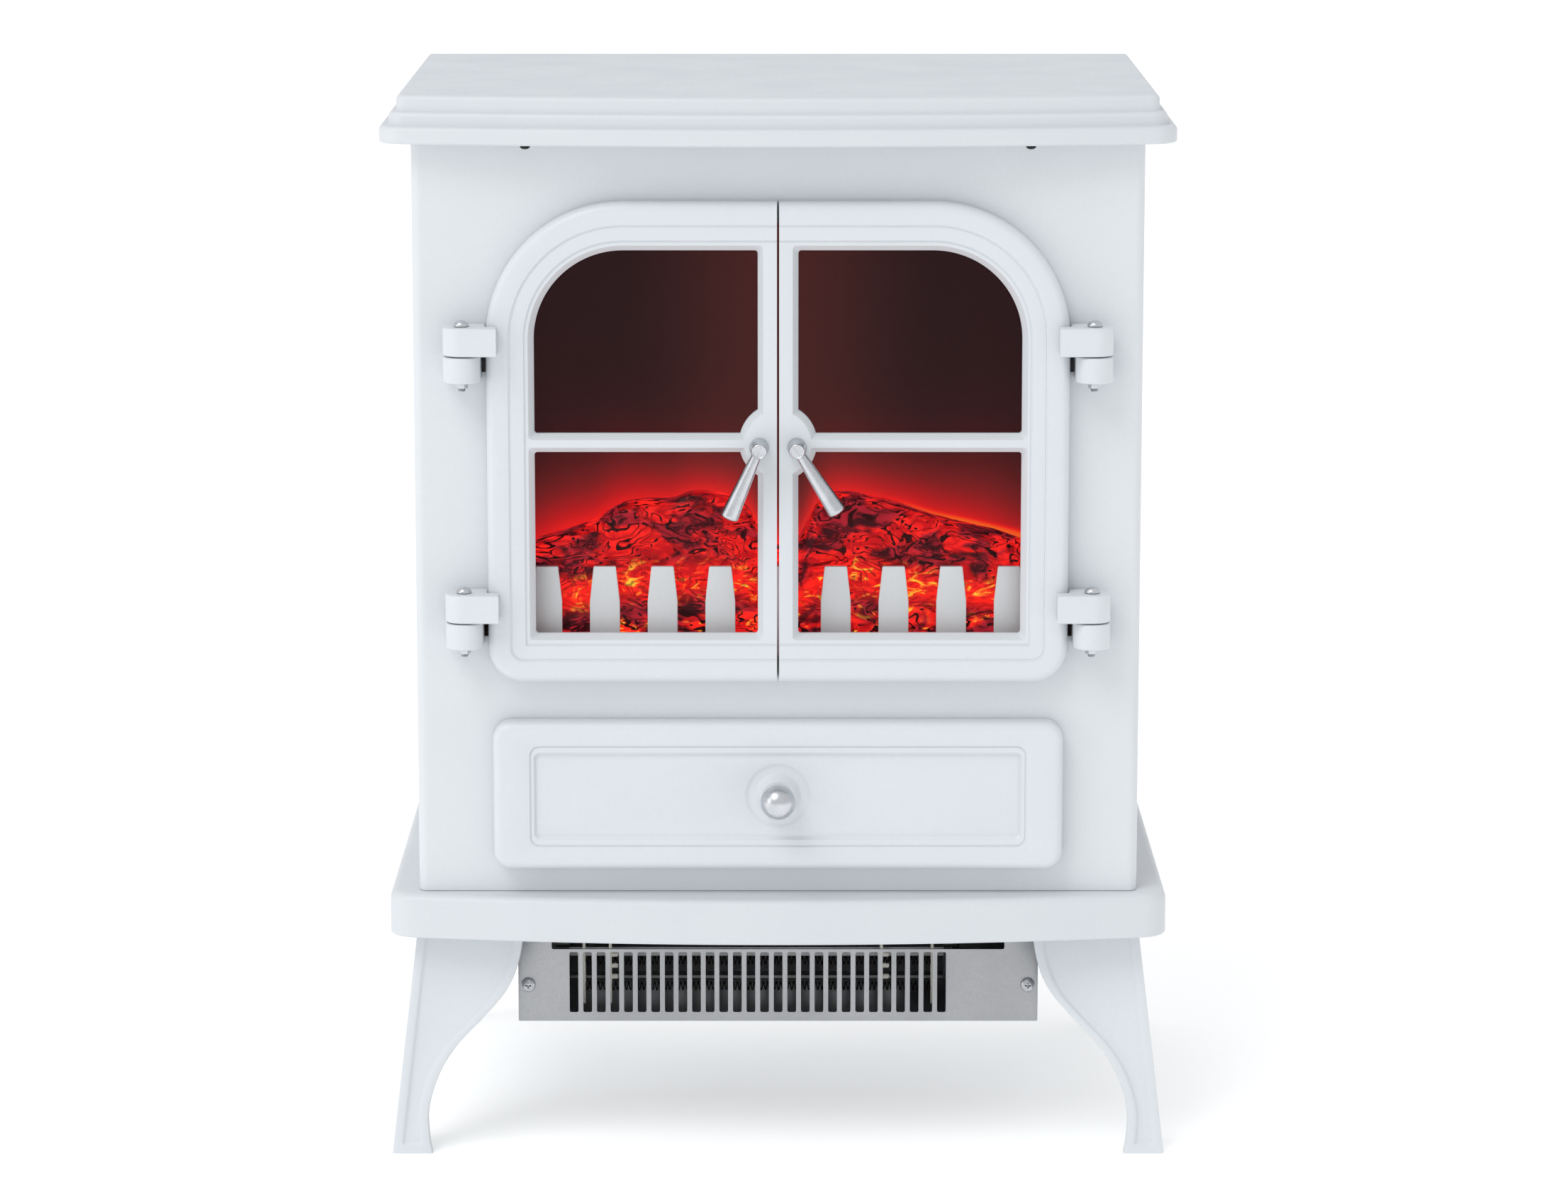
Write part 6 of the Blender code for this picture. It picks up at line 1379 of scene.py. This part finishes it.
def make_rear_screws():
    """Pan-head screws round the rear panel."""
    low, high = span("back_panel")
    edge = 8 * MM
    head = 3.5 * MM
    sides = (low.x + edge, high.x - edge)
    rim = high.y + 0.5 * MM
    profile = [(1.4 * MM, high.y - 0.5 * MM), (head - 0.1 * MM, high.y + 0.05 * MM), (head, rim)]
    profile += [(head * math.cos(a), rim + 1.5 * MM * math.sin(a)) for a in (0.35, 0.7, 1.05, 1.4)]
    shape = Shape(facing_front)
    for x in (sides[0], 0.0, sides[1]):
        for z in (low.z + edge, high.z - edge):
            shape.turned(profile, (x, z), 24)
    for x in sides:
        shape.turned(profile, (x, (low.z + high.z) / 2), 24)
    settle(make_object("rear_panel_screws", shape, BRIGHT_ZINC), "root", "bright_screw")


def finish_carried_nodes():
    """The inner parts keep their own solids and take real finishes."""
    finishes = {POWDER_COAT: ("body_shell",), REAR_COAT: ("back_panel", "light_box"),
                STOVE_BLACK: ("firebox_liner",), GLASS: ("left_door_glass", "right_door_glass"),
                ZINC_SHEET: ("heater_housing", "fan_impeller", "spindle_motor"),
                BLACK_ABS: ("cord_gland", "fan_motor", "thermal_cutout", "switch_block", "thermostat_body",
                            "dimmer_body"),
                WHITE_ABS: ("control_panel", "lamp_bracket"), OPAL: ("lamp_left", "lamp_right"),
                FOIL: ("flame_spindle",), BLACK_STEEL: ("top_screw_left", "top_screw_right")}
    for material, nodes in finishes.items():
        for node in nodes:
            NODES[node].data.materials.clear()
            NODES[node].data.materials.append(material)


# -------------------------------------------------------------------------------------------------- stage


def make_floor():
    """A wide pale light table, matt and faintly mottled: its own light fills the shade under the stove."""
    material, tree, shader, place = new_material("opal_light_table", "#F7F8F8", 0.85)
    cloud = add(tree, "TexNoise", {"Vector": place, "Scale": 1 / (900 * MM), "Detail": 2.0})
    tone = add(tree, "Mix", {SHARE: cloud, FIRST: "#F9FAFA", SECOND: "#F7F8F8"}, MIXED, **COLOURS)
    set_inputs(tree, shader, {"Base Color": tone, "Emission Color": "#FFFFFF", "Emission Strength": 0.25})
    mesh = bpy.data.meshes.new("floor")
    plane = bmesh.new()
    bmesh.ops.create_circle(plane, cap_ends=True, segments=64, radius=40.0)
    plane.to_mesh(mesh)
    plane.free()
    mesh.materials.append(material)
    made = bpy.data.objects.new("floor", mesh)
    bpy.context.scene.collection.objects.link(made)


def stage_light(name, kind, energy):
    """A lamp that belongs to the room, not to the stove."""
    lamp = bpy.data.lights.new(name, kind)
    lamp.energy = energy
    made = bpy.data.objects.new(name, lamp)
    bpy.context.scene.collection.objects.link(made)
    return made


def light_stage():
    """An even pale room, a very soft key from the upper left front, and a small box seen in the metal."""
    world = bpy.data.worlds.new("pale_room")
    world.use_nodes = True
    set_inputs(world.node_tree, world.node_tree.nodes["Background"], {"Color": "#FEFEFF", "Strength": 0.82})
    bpy.context.scene.world = world
    key = stage_light("soft_key", "SUN", 0.95)
    key.data.angle = math.radians(32)
    key.rotation_euler = (math.radians(38), 0, math.radians(-38))
    box = stage_light("side_soft_box", "AREA", 5)
    box.data.shape = "RECTANGLE"
    box.data.size, box.data.size_y = 0.9, 1.4
    box.location = (-2.2, -1.2, 0.9)
    box.rotation_euler = (Vector((0, 0, 0.3)) - box.location).to_track_quat("-Z", "Y").to_euler()


def make_camera():
    """Long lens a little above the stove, looking down ten degrees."""
    lens = bpy.data.cameras.new("front_camera")
    lens.lens = 118.78
    lens.sensor_width = 36
    lens.shift_x = 0.0038
    lens.shift_y = -0.03
    lens.clip_end = 100
    made = bpy.data.objects.new("front_camera", lens)
    made.location = (0, -2.829, 0.826)
    made.rotation_euler = (math.radians(90 - 10.265), 0, 0)
    bpy.context.scene.collection.objects.link(made)
    bpy.context.scene.camera = made


make_top_board()
make_base_board()
make_legs()
make_doors()
make_flap()
make_ball_knob()
for rocker in ("flame_switch", "low_heat_switch", "high_heat_switch"):
    make_rocker(rocker)
for knob in ("dimmer_knob", "thermostat_knob"):
    make_control_knob(knob)
make_dial_marks()
make_logs()
make_screen()
make_fence()
make_grille()
make_grille_screws()
make_element()
make_rear_screws()
finish_carried_nodes()
make_floor()
light_stage()
make_camera()
bpy.context.scene.view_settings.view_transform = "Standard"
